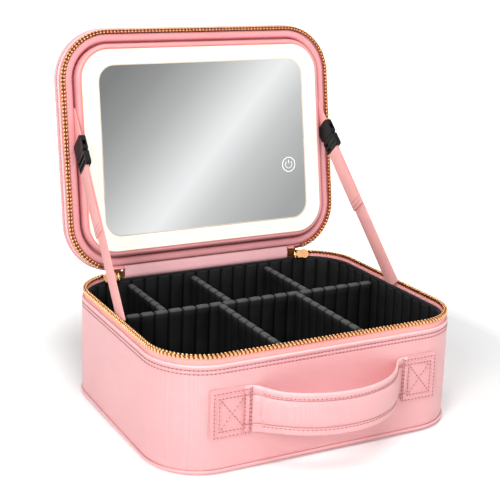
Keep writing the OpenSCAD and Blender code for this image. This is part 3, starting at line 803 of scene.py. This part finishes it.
class VANITY_OT_walls(bpy.types.Operator):
    """Leather walls of base and lid, their boards and piping, with the stitched hems"""

    bl_idname = "vanity.walls"
    bl_label = "Leather walls"

    def wall(self, s, low):
        """Section of a covered wall from a level up to the folded edge."""
        top = s.edge_z / MM
        # A point's third number is painted shade, in the stitch grooves and on the inner side under the edge;
        # its fourth is a painted highlight along the edge's crest.
        points = [
            (3.6, low), (0.9, low + 0.05), (0.35, low + 0.8), (0.0, low + 2.4), (-0.15, (low + top) / 2 - 4),
            (-0.12, top - 9.2), (-0.02, top - 7.3), (0.1, top - 6.8, 0.22), (0.1, top - 6.2, 0.22),
            (-0.05, top - 5.7), (-0.15, top - 5.0), (-0.05, top - 4.3), (0.2, top - 3.9, 0.3),
            (0.2, top - 3.4, 0.3), (-0.05, top - 2.9), (-0.3, top - 2.3), (-0.42, top - 1.5),
            (-0.4, top - 0.9, 0, 0.45), (-0.05, top - 0.25, 0, 0.8), (0.6, top, 0, 0.5), (1.2, top),
            (1.5, top - 0.3, 0.35),
            (1.6, top - 1.2, 0.7), (1.6, top - 6, 0.7), (3.6, top - 6),
        ]
        return inset_section(points)

    def cover(self, s, low, name, node, body, matrix=None):
        run = round_run(self.wall(s, low / MM), s.width, s.depth, s.corner, 20, 14).settle()
        wander(run.bm, s.wobble, keep=lambda co: min(1.0, max(0.0, (s.edge_z - 4 * MM - co.z) / (20 * MM))))
        piece(run.bm, name, body, "leather", matrix, (node,), sharp=50)
        rows = Stitches(s)
        track = round_run([(0, 0), (MM, 0)], s.width, s.depth, s.corner)
        for depth, sunk in ((s.row_top, 0.14), (s.row_low, 0.05)):
            rows.beside(track, sunk * MM, s.edge_z - depth)
        track.bm.free()
        rows.done(name + "_stitches", body, matrix)

    def execute(self, context):
        s = context.scene.case_sizes
        self.cover(s, s.board, "base_wall", "base_shell", "base")
        self.cover(s, lid_low(), "lid_wall", "lid_shell", "lid", LID)
        for node in ("base_bottom", "base_piping", "lid_piping"):
            dress(node, "leather")
        self.lid_top(s)
        return {"FINISHED"}

    def lid_top(self, s):
        """The lid's outside, one flat cover."""
        bm = plate(s.width - 0.3 * MM, s.depth - 0.3 * MM, s.corner, 12, 2.57 * MM)
        bmesh.ops.transform(bm, matrix=Matrix.Translation((0, 0, lid_low())) @ Matrix.Diagonal((1, 1, -1, 1)),
                            verts=bm.verts)
        piece(bm, "lid_cover", "lid", "leather", LID, ("lid_board",), sharp=50)


def lid_low():
    """Level, in the turned-over lid, where its wall meets its board."""
    s = bpy.context.scene.case_sizes
    return s.edge_z - 10 * MM + s.board


class VANITY_OT_zip(bpy.types.Operator):
    """Zip tapes, teeth, sliders, pulls and stops"""

    bl_idname = "vanity.zip"
    bl_label = "Zip"

    def execute(self, context):
        s = context.scene.case_sizes
        for part, matrix, shift in (("base", None, 0.0), ("lid", LID, 0.5)):
            dress(part + "_tape", "tape")
            dress(part + "_facing", "leather")
            self.row(s, part, matrix, shift)
        for kind in ("slider", "pull", "stop"):
            for side, _ in SIDES:
                dress(f"zip_{kind}_{side}", "metal", 0.3)
        return {"FINISHED"}

    def track(self, section, s):
        """Carries a section along the row of teeth, from its left end at the back round to the right.

        The left end stops short of the back corner's end; the right one goes right round it."""
        half_w, half_d = s.width / 2 - s.tape_in, s.depth / 2 - s.tape_in
        radius = s.corner - s.tape_in
        flat_x, flat_y = half_w - radius, half_d - radius
        end_x = s.width / 2 - s.row_end
        lean = math.acos((end_x - flat_x) / radius)
        run = Run(section, (-end_x, flat_y + radius * math.sin(lean), 0), HALF_TURN + QUARTER - lean)
        run.turns(lean, radius, 14)
        for flat in (2 * flat_y, 2 * flat_x, 2 * flat_y):
            run.lines(flat, 8)
            run.turns(QUARTER, radius, 18)
        return run

    def tooth(self, s):
        """One slanting tooth, two rounded legs astride the tape, its foot at the origin."""
        bm = bmesh.new()
        leg = s.tooth_t * 0.42
        for sign, height in ((-1, s.tooth_h * 0.86), (1, s.tooth_h)):
            bmesh.ops.create_cube(bm, size=1, matrix=Matrix.Translation((0, sign * (s.tooth_t - leg) / 2, 0))
                                  @ Matrix.Diagonal((s.tooth_w, leg, height, 1))
                                  @ Matrix.Translation((0, 0, 0.5)))
        bmesh.ops.bevel(bm, geom=bm.edges, offset=0.42 * MM, offset_type="OFFSET", segments=1, profile=0.5,
                        affect="EDGES", clamp_overlap=True, material=-1)
        bmesh.ops.transform(bm, verts=bm.verts, matrix=Matrix.Shear("XY", 4, (-0.4, 0))
                            @ Matrix.Translation((0.2 * s.tooth_h, 0, 0)))
        return bm

    def row(self, s, part, matrix, shift):
        foot = (TEETH_TOP - s.tooth_h) / MM
        bead = inset_section([(-0.95, foot + 0.7), (0.95, foot + 0.7), (1.15, foot + 1.5), (0.9, foot + 2.3),
                              (-0.9, foot + 2.3), (-1.15, foot + 1.5)])
        run = self.track(bead, s)
        teeth = Copies(self.tooth(s))
        count = int(run.length / 2 / s.tooth_pitch)
        for i in range(-count, count - int(4 * shift)):
            at, heading = run.spot(run.length / 2 + (i + 0.5 + shift) * s.tooth_pitch)
            teeth.put(Matrix.Translation((at.x, at.y, foot * MM)) @ Matrix.Rotation(heading, 4, "Z"))
        run.cap()
        piece(run.bm, part + "_zip_bead", part, "bead", matrix)
        teeth.done(part + "_zip_teeth", part, "metal", matrix, stands_for=(part + "_teeth",), sharp=80)


# Shares of one rib and how far its face is pinched in there
RIB_SHAPE = ((0.055, 1.0), (0.03, 0.5), (0.055, 0.05), (0.36, -0.15), (0.36, 0.05), (0.055, 0.5),
             (0.03, 1.0), (0.055, 1.0))


class VANITY_OT_lining(bpy.types.Operator):
    """Ribbed black liner, its binding and the floor pad"""

    bl_idname = "vanity.lining"
    bl_label = "Black lining"

    def execute(self, context):
        s = context.scene.case_sizes
        face = (s.layers + s.liner) / MM
        back = s.layers / MM + 0.05
        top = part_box("liner_binding")[0].z / MM + 0.2
        floor = s.board / MM + 0.05
        deep = s.rib_groove / MM
        points = [(back, floor), (back, top)]
        # The liner's top edge takes a painted highlight (proud); the pinched grooves take painted shade when
        # settled.
        section = [(side * MM, up * MM) for side, up in points] + [
            (face * MM, z * MM, -deep * MM, 0, proud)
            for z, proud in ((top, 0.55), (top - 1.2, 0.1), (top - 12, 0), (top - 34, 0), (floor, 0))]
        flat_x, flat_y = s.width - 2 * s.corner, s.depth - 2 * s.corner
        run = Run(section, (-flat_x / 2, -s.depth / 2, 0))
        inner = s.corner - face * MM
        for flat in (flat_x, flat_y, flat_x, flat_y):
            run.ribs(flat, lambda share, pinch: run.line(flat * share, pinch), s, RIB_SHAPE)
            run.ribs(inner * QUARTER, lambda share, pinch: run.turn(QUARTER * share, s.corner, pinch), s,
                     RIB_SHAPE)
        run.settle(True)
        obj = piece(run.bm, "ribbed_liner", "base", "foam", None, ("liner",), sharp=60)
        dress("liner_binding", "foam", 0.2)
        self.floor(s, face)
        return {"FINISHED"}

    def floor(self, s, face):
        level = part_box("floor_pad")[0].z + 0.6 * MM
        bm = plate(s.width - 2 * face * MM, s.depth - 2 * face * MM, s.corner - face * MM, 8, level)
        piece(bm, "floor_cushion", "base", "foam", None, ("floor_pad",))


class VANITY_OT_dividers(bpy.types.Operator):
    """Six ribbed foam dividers"""

    bl_idname = "vanity.dividers"
    bl_label = "Dividers"

    def execute(self, context):
        s = context.scene.case_sizes
        for node in sorted(frame["nodes"]):
            if node.startswith("divider_"):
                self.divider(s, node)
        return {"FINISHED"}

    def divider(self, s, node):
        low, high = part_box(node)
        along_x = high.x - low.x > high.y - low.y
        length = high.x - low.x if along_x else high.y - low.y
        thick = high.y - low.y if along_x else high.x - low.x
        run = Run(self.section(thick / 2, high.z - low.z, s.rib_groove), (0, 0, 0))
        count = round(length / s.rib_pitch)
        for _ in range(count):
            for share, pinch in RIB_SHAPE:
                run.line(length / count * share, pinch)
        run.settle(True).cap()
        place = Matrix.Translation((low.x, (low.y + high.y) / 2, low.z))
        if not along_x:
            place = (Matrix.Translation(((low.x + high.x) / 2, low.y, low.z))
                     @ Matrix.Rotation(QUARTER, 4, "Z"))
        obj = piece(run.bm, node + "_board", node, "foam", place, (node,), sharp=60)

    def section(self, half, height, groove):
        """Round-topped upright board; every point but the foot can be pinched in."""
        points = [(-half, 0, groove, 0)]
        bead = half + 0.85 * MM
        crown = height - half
        points += [(-half, crown * share, groove, 0) for share in (0.3, 0.65, 0.93)]
        for k in range(7):
            angle = HALF_TURN - HALF_TURN * k / 6
            c, n = math.cos(angle), math.sin(angle)
            # proud is a painted highlight on the crown, strongest on top where the light falls.
            points.append((bead * c, crown + half * n, -groove * c, -groove * n, min(1.0, 1.4 * n + 0.1)))
        points += [(half, crown * share, -groove, 0) for share in (0.93, 0.65, 0.3)]
        return points + [(half, 0, -groove, 0)]


class VANITY_OT_spine(bpy.types.Operator):
    """Leather spine that folds over the hinge, and the lined panel inside it; both are drawn in one fixed
    shape
    """

    bl_idname = "vanity.spine"
    bl_label = "Folding spine"

    def strip(self, name, node, look, points, thick, start, end):
        """A strip across the case: points are (y, z) in millimetres, from base to lid."""
        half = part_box(node)[1].x
        bm = bmesh.new()
        verts = [bm.verts.new((-half, y * MM, z * MM)) for y, z in points]
        edges = [bm.edges.new(pair) for pair in zip(verts, verts[1:])]
        bmesh.ops.subdivide_edges(bm, edges=edges, cuts=1, smooth=0.6)
        edges, spans = list(bm.edges), 40
        for _ in range(spans):
            verts, edges = newest(bmesh.ops.extrude_edge_only(bm, edges=edges)["geom"])
            bmesh.ops.translate(bm, verts=verts, vec=(2 * half / spans, 0, 0))
        bmesh.ops.recalc_face_normals(bm, faces=bm.faces)
        bmesh.ops.solidify(bm, geom=bm.faces, thickness=thick * MM)
        obj = piece(bm, name, None, look, None, (node,), sharp=60)
        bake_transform(obj)

    def execute(self, context):
        self.strip("inner_panel", "hinge_panel", "panel",
                   [(99.0, 86.5), (97.5, 86.9), (97.0, 88.6), (97.2, 91.2), (97.5, 93.8),
                    (97.9, 96.0), (98.1, 97.0)],
                   0.9, (0, 0.0995, 0.0868), (0, 0.0978, 0.0962))
        self.strip("outer_spine", "hinge_spine", "leather",
                   [(101.0, 79), (101.0, 84.4), (101.4, 86.6), (101.6, 89), (101.2, 91.4), (100.8, 93.4),
                    (101.2, 94.8), (103.0, 94.8), (105.5, 94.5)],
                   0.7, (0, 0.1012, 0.0850), (0, 0.1008, 0.0940))
        return {"FINISHED"}


class VANITY_OT_lid_lining(bpy.types.Operator):
    """Soft band and padded frame round the lit panel"""

    bl_idname = "vanity.lid_lining"
    bl_label = "Lid lining"

    def execute(self, context):
        s, m = context.scene.case_sizes, context.scene.lid_sizes
        floor = m.core_z / MM + 0.05
        top = m.band_z / MM
        a = m.band_in / MM
        b = (m.crease_in - m.crease_w) / MM
        w = b - a
        band = [(a, floor), (a, top - 2.2), (a + 0.25, top - 1.0), (a + 0.9, top - 0.3), (a + 0.32 * w, top),
                (a + 0.6 * w, top - 0.02), (b - 0.9, top - 0.3), (b - 0.1, top - 0.8), (b + 0.45, top - 1.7),
                (b + 0.65, top - 3.0), (b + 0.3, top - 5), (b, floor)]
        run = round_run(inset_section(band), s.width, s.depth, s.corner, 24, 14).settle()
        wander(run.bm, 0.12 * MM, 16)
        piece(run.bm, "lid_soft_band", "lid", "lining", LID, ("lid_band",), sharp=70)
        top = m.pad_z / MM
        c = m.crease_in / MM
        pad = [(c, floor), (c - 0.4, top - 6.4), (c - 0.7, top - 4.0), (c - 0.5, top - 2.2),
               (c + 0.1, top - 0.9), (c + 1.1, top - 0.15), (c + 2.1, top + 0.05), (c + 3.0, top - 0.25),
               (c + 3.5, top - 1.0), (c + 3.6, floor)]
        run = round_run(inset_section(pad), s.width, s.depth, s.corner, 24, 14).settle()
        wander(run.bm, 0.12 * MM, 16)
        piece(run.bm, "lid_soft_frame", "lid", "lining", LID, ("lid_pad",), sharp=70)
        dress("lid_core", "lining")
        return {"FINISHED"}


class VANITY_OT_mirror(bpy.types.Operator):
    """Mirror, lit border, touch mark and what is inside the panel"""

    bl_idname = "vanity.mirror"
    bl_label = "Lit mirror"

    def execute(self, context):
        m = context.scene.lid_sizes
        dress("light_frame", "light", 0.5, 3)
        dress("mirror_glass", "mirror", 0.25, 2)
        dress("mirror_housing", "housing", 0.3)
        dress("led_strip", "light")
        dress("battery_cell", "cell", 0.8)
        dress("control_board", "circuit")
        z = m.panel_z / MM
        edge = inset_section([(-0.45, z - 0.3), (-0.45, z + 0.02), (-0.2, z + 0.1), (0.3, z + 0.1),
                              (0.6, z - 0.02), (0.6, z - 0.3)])
        run = round_run(edge, m.mirror_w, m.mirror_d, m.mirror_r, 6, 8).settle()
        piece(run.bm, "mirror_edge", "lid", "edge", LID)
        glow = inset_section([(-0.35, z - 1.6), (-0.4, z - 0.9), (-0.1, z - 0.35), (0.35, z - 0.3),
                              (0.35, z - 1.6)])
        run = round_run(glow, m.panel_w, m.panel_d, m.panel_r, 6, 12).settle()
        piece(run.bm, "light_edge", "lid", "glow", LID)
        self.mark(m)
        return {"FINISHED"}

    def mark(self, m):
        """A plain switch sign in a ring, on the glass."""
        bm = bmesh.new()
        face = m.panel_z - 0.08 * MM
        centre = Vector((m.touch_x, m.touch_y, face))

        def arc(radius, start, sweep, half):
            verts = [bm.verts.new((radius + side * half, 0, up * 0.08 * MM))
                     for side, up in ((-1, 0), (1, 0), (1, 1), (-1, 1))]
            edges = [bm.edges.new(p) for p in zip(verts, verts[1:] + verts[:1])]
            bmesh.ops.rotate(bm, verts=verts, cent=(0, 0, 0), matrix=Matrix.Rotation(start, 3, "Z"))
            bmesh.ops.contextual_create(bm, geom=edges)
            last = bmesh.ops.spin(bm, geom=edges, cent=(0, 0, 0), axis=(0, 0, 1), dvec=(0, 0, 0),
                                  angle=sweep, steps=40, use_merge=sweep >= 2 * HALF_TURN)["geom_last"]
            rim = [g for g in last if isinstance(g, bmesh.types.BMEdge)]
            if sweep < 2 * HALF_TURN:
                bmesh.ops.contextual_create(bm, geom=rim)

        arc(m.touch_r, 0, 2 * HALF_TURN, 0.24 * MM)
        arc(m.touch_r * 0.52, -QUARTER + 0.7, 2 * HALF_TURN - 1.4, 0.16 * MM)
        bar = bmesh.ops.create_cube(bm, size=1)["verts"]
        bmesh.ops.transform(bm, verts=bar, matrix=Matrix.Translation((0, -m.touch_r * 0.4, 0.04 * MM))
                            @ Matrix.Diagonal((0.4 * MM, m.touch_r * 0.5, 0.08 * MM, 1)))
        piece(bm, "touch_mark", "lid", "mark", LID @ Matrix.Translation(centre))


class VANITY_OT_handle(bpy.types.Operator):
    """Padded handle strap and its two sewn tabs"""

    bl_idname = "vanity.handle"
    bl_label = "Handle"

    def execute(self, context):
        s, h = context.scene.case_sizes, context.scene.strap_sizes
        self.grip(s, h)
        for side, sign in SIDES:
            self.tab(s, h, side, sign)
        return {"FINISHED"}

    def grip(self, s, h):
        half = (h.tab_span - h.tab_w) / 2
        bend = 2 * math.atan(h.grip_bow / half)
        big = half / math.sin(bend) - h.grip_turn
        top = h.grip_h / 2
        edge, fill = h.grip_edge, h.grip_fill
        seam = top - 6.0 * MM
        profile = [(0, top, 0), (edge * 0.75, top - 0.2 * MM, 0), (edge, top - 0.8 * MM, 0),
                   (edge * 1.02, top - 2.6 * MM, 0), (edge * 1.02, seam + 0.8 * MM, 0),
                   (edge * 0.8, seam + 0.35 * MM, 0.1), (edge * 0.3, seam, 0.4),
                   (edge * 1.2, seam - 0.6 * MM, 0), (fill * 0.8, seam - 1.8 * MM, 0),
                   (fill * 0.96, seam - 4.6 * MM, 0), (fill, 0, 0)]
        ring = [(-x, z, deep) for x, z, deep in profile] + [(-x, -z, deep) for x, z, deep in profile[-2::-1]]
        ring += [(x * 0.9, -z, deep) for x, z, deep in profile[1:]]
        ring += [(x * 0.9, z, deep) for x, z, deep in profile[-2:0:-1]]
        # Points of the top edge take a painted highlight (proud 0.5); the profile's third number is painted
        # shade in the seam's crease.
        shrink = [(x, z, -x * (0.35 if abs(x) > edge * 1.1 else 0.0), 0, 0.5 if z > top - MM else 0, deep)
                  for x, z, deep in ring]
        tuck = 6 * MM
        start_y = -s.depth / 2 - fill - 0.35 * MM
        run = Run(shrink, (-half - tuck, start_y, h.grip_z), pinch=1.0)
        run.line(tuck / 2, 1.0)
        run.line(tuck / 2, 1.0)
        for k in range(10):
            run.turn(-bend / 10, -h.grip_turn, 1.0 - (k + 1) / 10)
        for k in range(36):
            run.turn(2 * bend / 36, big)
        for k in range(10):
            run.turn(-bend / 10, -h.grip_turn, (k + 1) / 10)
        run.line(tuck / 2, 1.0)
        run.line(tuck / 2, 1.0)
        run.settle().cap()

        def droop(place, length):
            share = math.sin(HALF_TURN * min(1, max(0, length / run.length)))
            low = (h.grip_z + top - place.z) / h.grip_h
            out = (min(length, run.length - length) - tuck) / (24 * MM)
            tall = 1 + h.grip_flare * min(1.0, max(0.0, 1 - out)) ** 1.5
            sunk = 1.7 * MM * min(1.0, max(0.0, 1 - 3 * out))
            return Vector((place.x, place.y + sunk - 0.6 * MM * share * low,
                           h.grip_z + (place.z - h.grip_z) * tall + h.grip_rise * share ** 2))

        for v in run.bm.verts:
            v.co = droop(v.co, v[run.along])
        rows = Stitches(s)
        for up in (seam + 1.5 * MM, -seam - 1.5 * MM):
            rows.beside(run, -edge * 0.98, up, tuck, run.length - tuck, droop)
        obj = piece(run.bm, "handle_grip", "base", "leather", None, ("handle_strap",), sharp=70)
        rows.done("handle_grip_stitches", "base")

    def tab(self, s, h, side, sign):
        """A flat leather patch and, in front of it, the threads of a boxed cross."""
        bm = plate(h.tab_w, h.tab_h, 1.6 * MM, 4, 0.61 * MM)
        place = (Matrix.Translation((sign * h.tab_span / 2, -s.depth / 2, h.grip_z))
                 @ Matrix.Rotation(QUARTER, 4, "X"))
        piece(bm, "handle_patch_" + side, "base", "leather", place, ("handle_tab_" + side,), sharp=70)
        rows = Stitches(s)
        lift = h.tab_t - 0.2 * MM
        for inset in (2.3 * MM, 6.3 * MM):
            x, y = h.tab_w / 2 - inset, h.tab_h / 2 - inset
            corners = [(-x, -y), (x, -y), (x, y), (-x, y)]
            rows.path(corners + corners[:1], lift)
        for a, b in ((0, 2), (1, 3)):
            rows.line(corners[a], corners[b], lift)
        x, y = -sign * (h.tab_w / 2 - 0.9 * MM), h.tab_h / 2 - 1.2 * MM
        rows.line((x, -y), (x, y), lift - 0.1 * MM)
        rows.done("handle_patch_stitches_" + side, "base", place)


class VANITY_OT_straps(bpy.types.Operator):
    """Webbing straps of the lid, with their doubled tails, and the buckles"""

    bl_idname = "vanity.straps"
    bl_label = "Lid straps"

    def execute(self, context):
        s, m, h = context.scene.case_sizes, context.scene.lid_sizes, context.scene.strap_sizes
        root_x = s.width / 2 - m.crease_in + m.crease_w / 2
        foot_x = s.width / 2 - s.layers - h.web_t / 2 - 0.4 * MM
        root = LID @ Vector((0, HINGE_AT.y - h.root_v, m.core_z + 0.3 * MM))
        foot = Vector((0, h.land_y, s.edge_z + 2.45 * MM))
        drop = foot - root
        tilt = math.atan2(-drop.y, -drop.z)
        lean = math.atan2(foot_x - root_x, drop.length)
        for side, sign in SIDES:
            place = (Matrix.Translation((sign * root_x, root.y, root.z)) @ Matrix.Rotation(-tilt, 4, "X")
                     @ Matrix.Rotation(-sign * lean, 4, "Y"))
            self.side(s, h, side, sign, place, drop.length, root_x, foot_x)
            for part in ("buckle_socket_", "buckle_plug_"):
                dress(part + side, "plastic", 0.45, 3)
        return {"FINISHED"}

    def web(self, name, body, h, place, start, length, offset=0.0, spans=24, sag=0.0, stands_for=()):
        """A stretch of webbing down the strap, offset from its middle plane."""
        w, t = h.web_w / 2, h.web_t / 2
        section = [(-t, -w + 0.5 * MM), (-t, 0), (-t, w - 0.5 * MM), (-t * 0.5, w), (t * 0.5, w),
                   (t, w - 0.5 * MM), (t, 0), (t, -w + 0.5 * MM), (t * 0.5, -w), (-t * 0.5, -w)]
        run = Run(section, (0, 0, 0))
        run.lines(length, spans)
        run.cap()
        for v in run.bm.verts:
            share = v.co.x / length
            v.co.y += offset + sag * math.sin(HALF_TURN * share)
            v.co.x += start
        down = Matrix(((0, 1, 0, 0), (0, 0, 1, 0), (-1, 0, 0, 0), (0, 0, 0, 1)))
        return piece(run.bm, name, body, "webbing", place @ down, stands_for)

    def side(self, s, h, side, sign, place, reach, root_x, foot_x):
        buckle_end = h.upper_len + h.buckle_l
        full = math.hypot(reach, foot_x - root_x)
        self.web("webbing_upper_" + side, "lid", h, place, -1.5 * MM, h.upper_len + 3.4 * MM,
                 stands_for=("web_upper_" + side,))
        lower = self.web("webbing_lower_" + side, None, h, place, buckle_end - 3 * MM,
                         full - buckle_end + 3 * MM, spans=60, stands_for=("web_lower_" + side,))
        tail = self.web("webbing_tail_" + side, None, h, place, buckle_end - 2.0 * MM, h.tail_len,
                        offset=-(h.web_t + 0.15 * MM), sag=-0.4 * MM, spans=20)
        rows = Stitches(s)
        end = buckle_end - 2.0 * MM + h.tail_len
        w = h.web_w / 2 - 2 * MM
        rows.path([(end - 3 * MM, -w), (end - 3 * MM, w), (end - 7 * MM, w), (end - 7 * MM, -w),
                   (end - 3 * MM, -w)], 1.5 * h.web_t + 0.15 * MM)
        flat = Matrix(((0, 0, -1, 0), (0, 1, 0, 0), (-1, 0, 0, 0), (0, 0, 0, 1)))
        stitched = rows.done("webbing_stitches_" + side, None, place @ flat)
        for obj in (lower, tail, stitched):
            obj.visible_glossy = False
            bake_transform(obj)


class VANITY_OT_stage(bpy.types.Operator):
    """Pale floor, soft lamps, the card that the mirror sees, and the camera"""

    bl_idname = "vanity.stage"
    bl_label = "Studio"

    def execute(self, context):
        st = context.scene.studio
        self.floor(context)
        self.world(st)
        self.lamp("Key", st.key, 0.6, (-1.2, -1.0, 0.95))
        self.lamp("Fill", st.fill, 1.2, (1.1, -1.4, 0.6))
        self.lamp("Top", st.top, 0.9, (-0.15, -0.55, 1.6))
        self.card()
        self.camera(context, st)
        context.scene.view_settings.view_transform = "Standard"
        return {"FINISHED"}

    def lamp(self, name, power, width, place):
        data = bpy.data.lights.new(name, "AREA")
        data.energy, data.shape, data.size = power, "DISK", width
        obj = new_object(name, data)
        obj.location = place
        obj.rotation_euler = (Vector((0, 0, 0.12)) - Vector(place)).to_track_quat("-Z", "Y").to_euler()

    def floor(self, context):
        bm = bmesh.new()
        bmesh.ops.create_grid(bm, x_segments=2, y_segments=2, size=8)
        obj = new_object("floor", meshed(bm, "floor"))
        f = Finish("Pale floor", context.scene.finishes.floor, 0.8)
        f.tone(0.4, 0.005)
        ray = add_node(f.tree, "LightPath").outputs
        seen = maths(f.tree, "MAXIMUM", ray["Is Camera Ray"], ray["Is Glossy Ray"])
        far = add_node(f.tree, "VectorMath", Vector=f.place)
        far.operation = "DISTANCE"
        far.inputs[1].default_value = (0.08, 0.06, 0)
        rise = maths(f.tree, "MULTIPLY_ADD", far.outputs["Value"], 7.0, -1.4, clamp=True)
        glow = maths(f.tree, "MULTIPLY", maths(f.tree, "MULTIPLY_ADD", rise, 0.93, 0.08), seen)
        f.set(Emission_Color=(1, 1, 1, 1), Emission_Strength=glow)
        obj.data.materials.append(f.material)

    def world(self, st):
        world = bpy.data.worlds.new("Studio")
        bpy.context.scene.world = world
        world.use_nodes = True
        tree = world.node_tree
        even = supply(tree, tree.nodes["Background"], {"Strength": st.world, "Color": (1, 1, 1, 1)})
        white = add_node(tree, "Background")
        ray = add_node(tree, "LightPath").outputs
        seen = maths(tree, "MAXIMUM", ray["Is Camera Ray"], ray["Is Transmission Ray"])
        seen = maths(tree, "MAXIMUM", seen, maths(tree, "MULTIPLY", ray["Is Glossy Ray"], 0.8))
        mix = add_node(tree, "MixShader")
        for socket, value in zip(mix.inputs, (seen, even.outputs[0], white.outputs[0])):
            feed(tree, socket, value)
        feed(tree, tree.nodes["World Output"].inputs["Surface"], mix.outputs[0])

    def card(self):
        """A grey card with a bright slanted band, which only the mirror and other gloss see."""
        bm = bmesh.new()
        bmesh.ops.create_grid(bm, x_segments=2, y_segments=2, size=0.5)
        bmesh.ops.transform(bm, verts=bm.verts, matrix=Matrix.Translation((0.78, -1.4, 0.40))
                            @ Matrix.Rotation(QUARTER, 4, "X") @ Matrix.Diagonal((1.3, 1.1, 1, 1)))
        obj = new_object("mirror_card", meshed(bm, "mirror_card"))
        obj.visible_camera = obj.visible_diffuse = obj.visible_shadow = False
        material = bpy.data.materials.new("Grey card")
        material.use_nodes = True
        tree = material.node_tree
        place = add_node(tree, "TexCoord").outputs["Object"]
        split = add_node(tree, "SeparateXYZ", Vector=place).outputs
        slant = maths(tree, "MULTIPLY_ADD", split["Z"], -0.72, maths(tree, "MULTIPLY", split["X"], 0.69))
        ramp = add_node(tree, "ValToRGB", Fac=maths(tree, "MULTIPLY_ADD", slant, 1.6, 0.1))
        stops = ((0.07, 0.25), (0.2, 0.35), (0.33, 0.52), (0.43, 0.72), (0.5, 0.88), (0.555, 0.97),
                 (0.61, 0.85), (0.68, 0.68), (0.78, 0.55), (0.93, 0.42))
        ramp.color_ramp.elements[0].position = stops[0][0]
        ramp.color_ramp.elements[1].position = stops[-1][0]
        for place_at, _ in stops[1:-1]:
            ramp.color_ramp.elements.new(place_at)
        for element, (_, grey) in zip(ramp.color_ramp.elements, stops):
            element.color = (grey, grey, grey, 1)
        glow = add_node(tree, "Emission", Color=ramp.outputs["Color"], Strength=1.12)
        feed(tree, tree.nodes["Material Output"].inputs["Surface"], glow.outputs[0])
        obj.data.materials.append(material)

    def camera(self, context, st):
        az, el, roll = (math.radians(a) for a in (st.azimuth, st.elevation, st.roll))
        back = Vector((math.sin(az) * math.cos(el), -math.cos(az) * math.cos(el), math.sin(el)))
        right = Vector((0, 0, 1)).cross(back).normalized()
        up = back.cross(right)
        right, up = (right * math.cos(roll) + up * math.sin(roll),
                     up * math.cos(roll) - right * math.sin(roll))
        data = bpy.data.cameras.new("Camera")
        data.lens, data.sensor_width = st.lens, 36
        data.shift_x, data.shift_y = st.shift_x, st.shift_y
        data.clip_start, data.clip_end = 0.05, 50
        obj = new_object("Camera", data)
        obj.matrix_world = Matrix((right, up, back)).transposed().to_4x4()
        obj.location = Vector((0, 0, st.target_z)) + right * st.aside + up * st.above + back * st.distance
        context.scene.camera = obj


class VANITY_PT_panel(bpy.types.Panel):
    """Lists the steps that build the case"""

    bl_idname = "VANITY_PT_panel"
    bl_label = "Vanity Case"
    bl_space_type = "VIEW_3D"
    bl_region_type = "UI"
    bl_category = "Vanity Case"

    def draw(self, context):
        for operator in OPERATORS:
            self.layout.operator(operator.bl_idname)
        for group in GROUPS:
            box = self.layout.box()
            values = getattr(context.scene, group)
            for name in values.bl_rna.properties.keys():
                if name not in ("rna_type", "name"):
                    box.prop(values, name)


OPERATORS = (
    VANITY_OT_walls, VANITY_OT_zip, VANITY_OT_lining, VANITY_OT_dividers, VANITY_OT_spine,
    VANITY_OT_lid_lining, VANITY_OT_mirror, VANITY_OT_handle, VANITY_OT_straps, VANITY_OT_stage,
)


def register():
    for cls in (*GROUPS.values(), *OPERATORS, VANITY_PT_panel):
        bpy.utils.register_class(cls)
    for name, group in GROUPS.items():
        setattr(bpy.types.Scene, name, PointerProperty(type=group))


def unregister():
    for name in GROUPS:
        delattr(bpy.types.Scene, name)
    for cls in reversed((*GROUPS.values(), *OPERATORS, VANITY_PT_panel)):
        bpy.utils.unregister_class(cls)


def main():
    register()
    for operator in OPERATORS:
        package, name = operator.bl_idname.split(".")
        getattr(getattr(bpy.ops, package), name)()


if __name__ == "__main__":
    main()
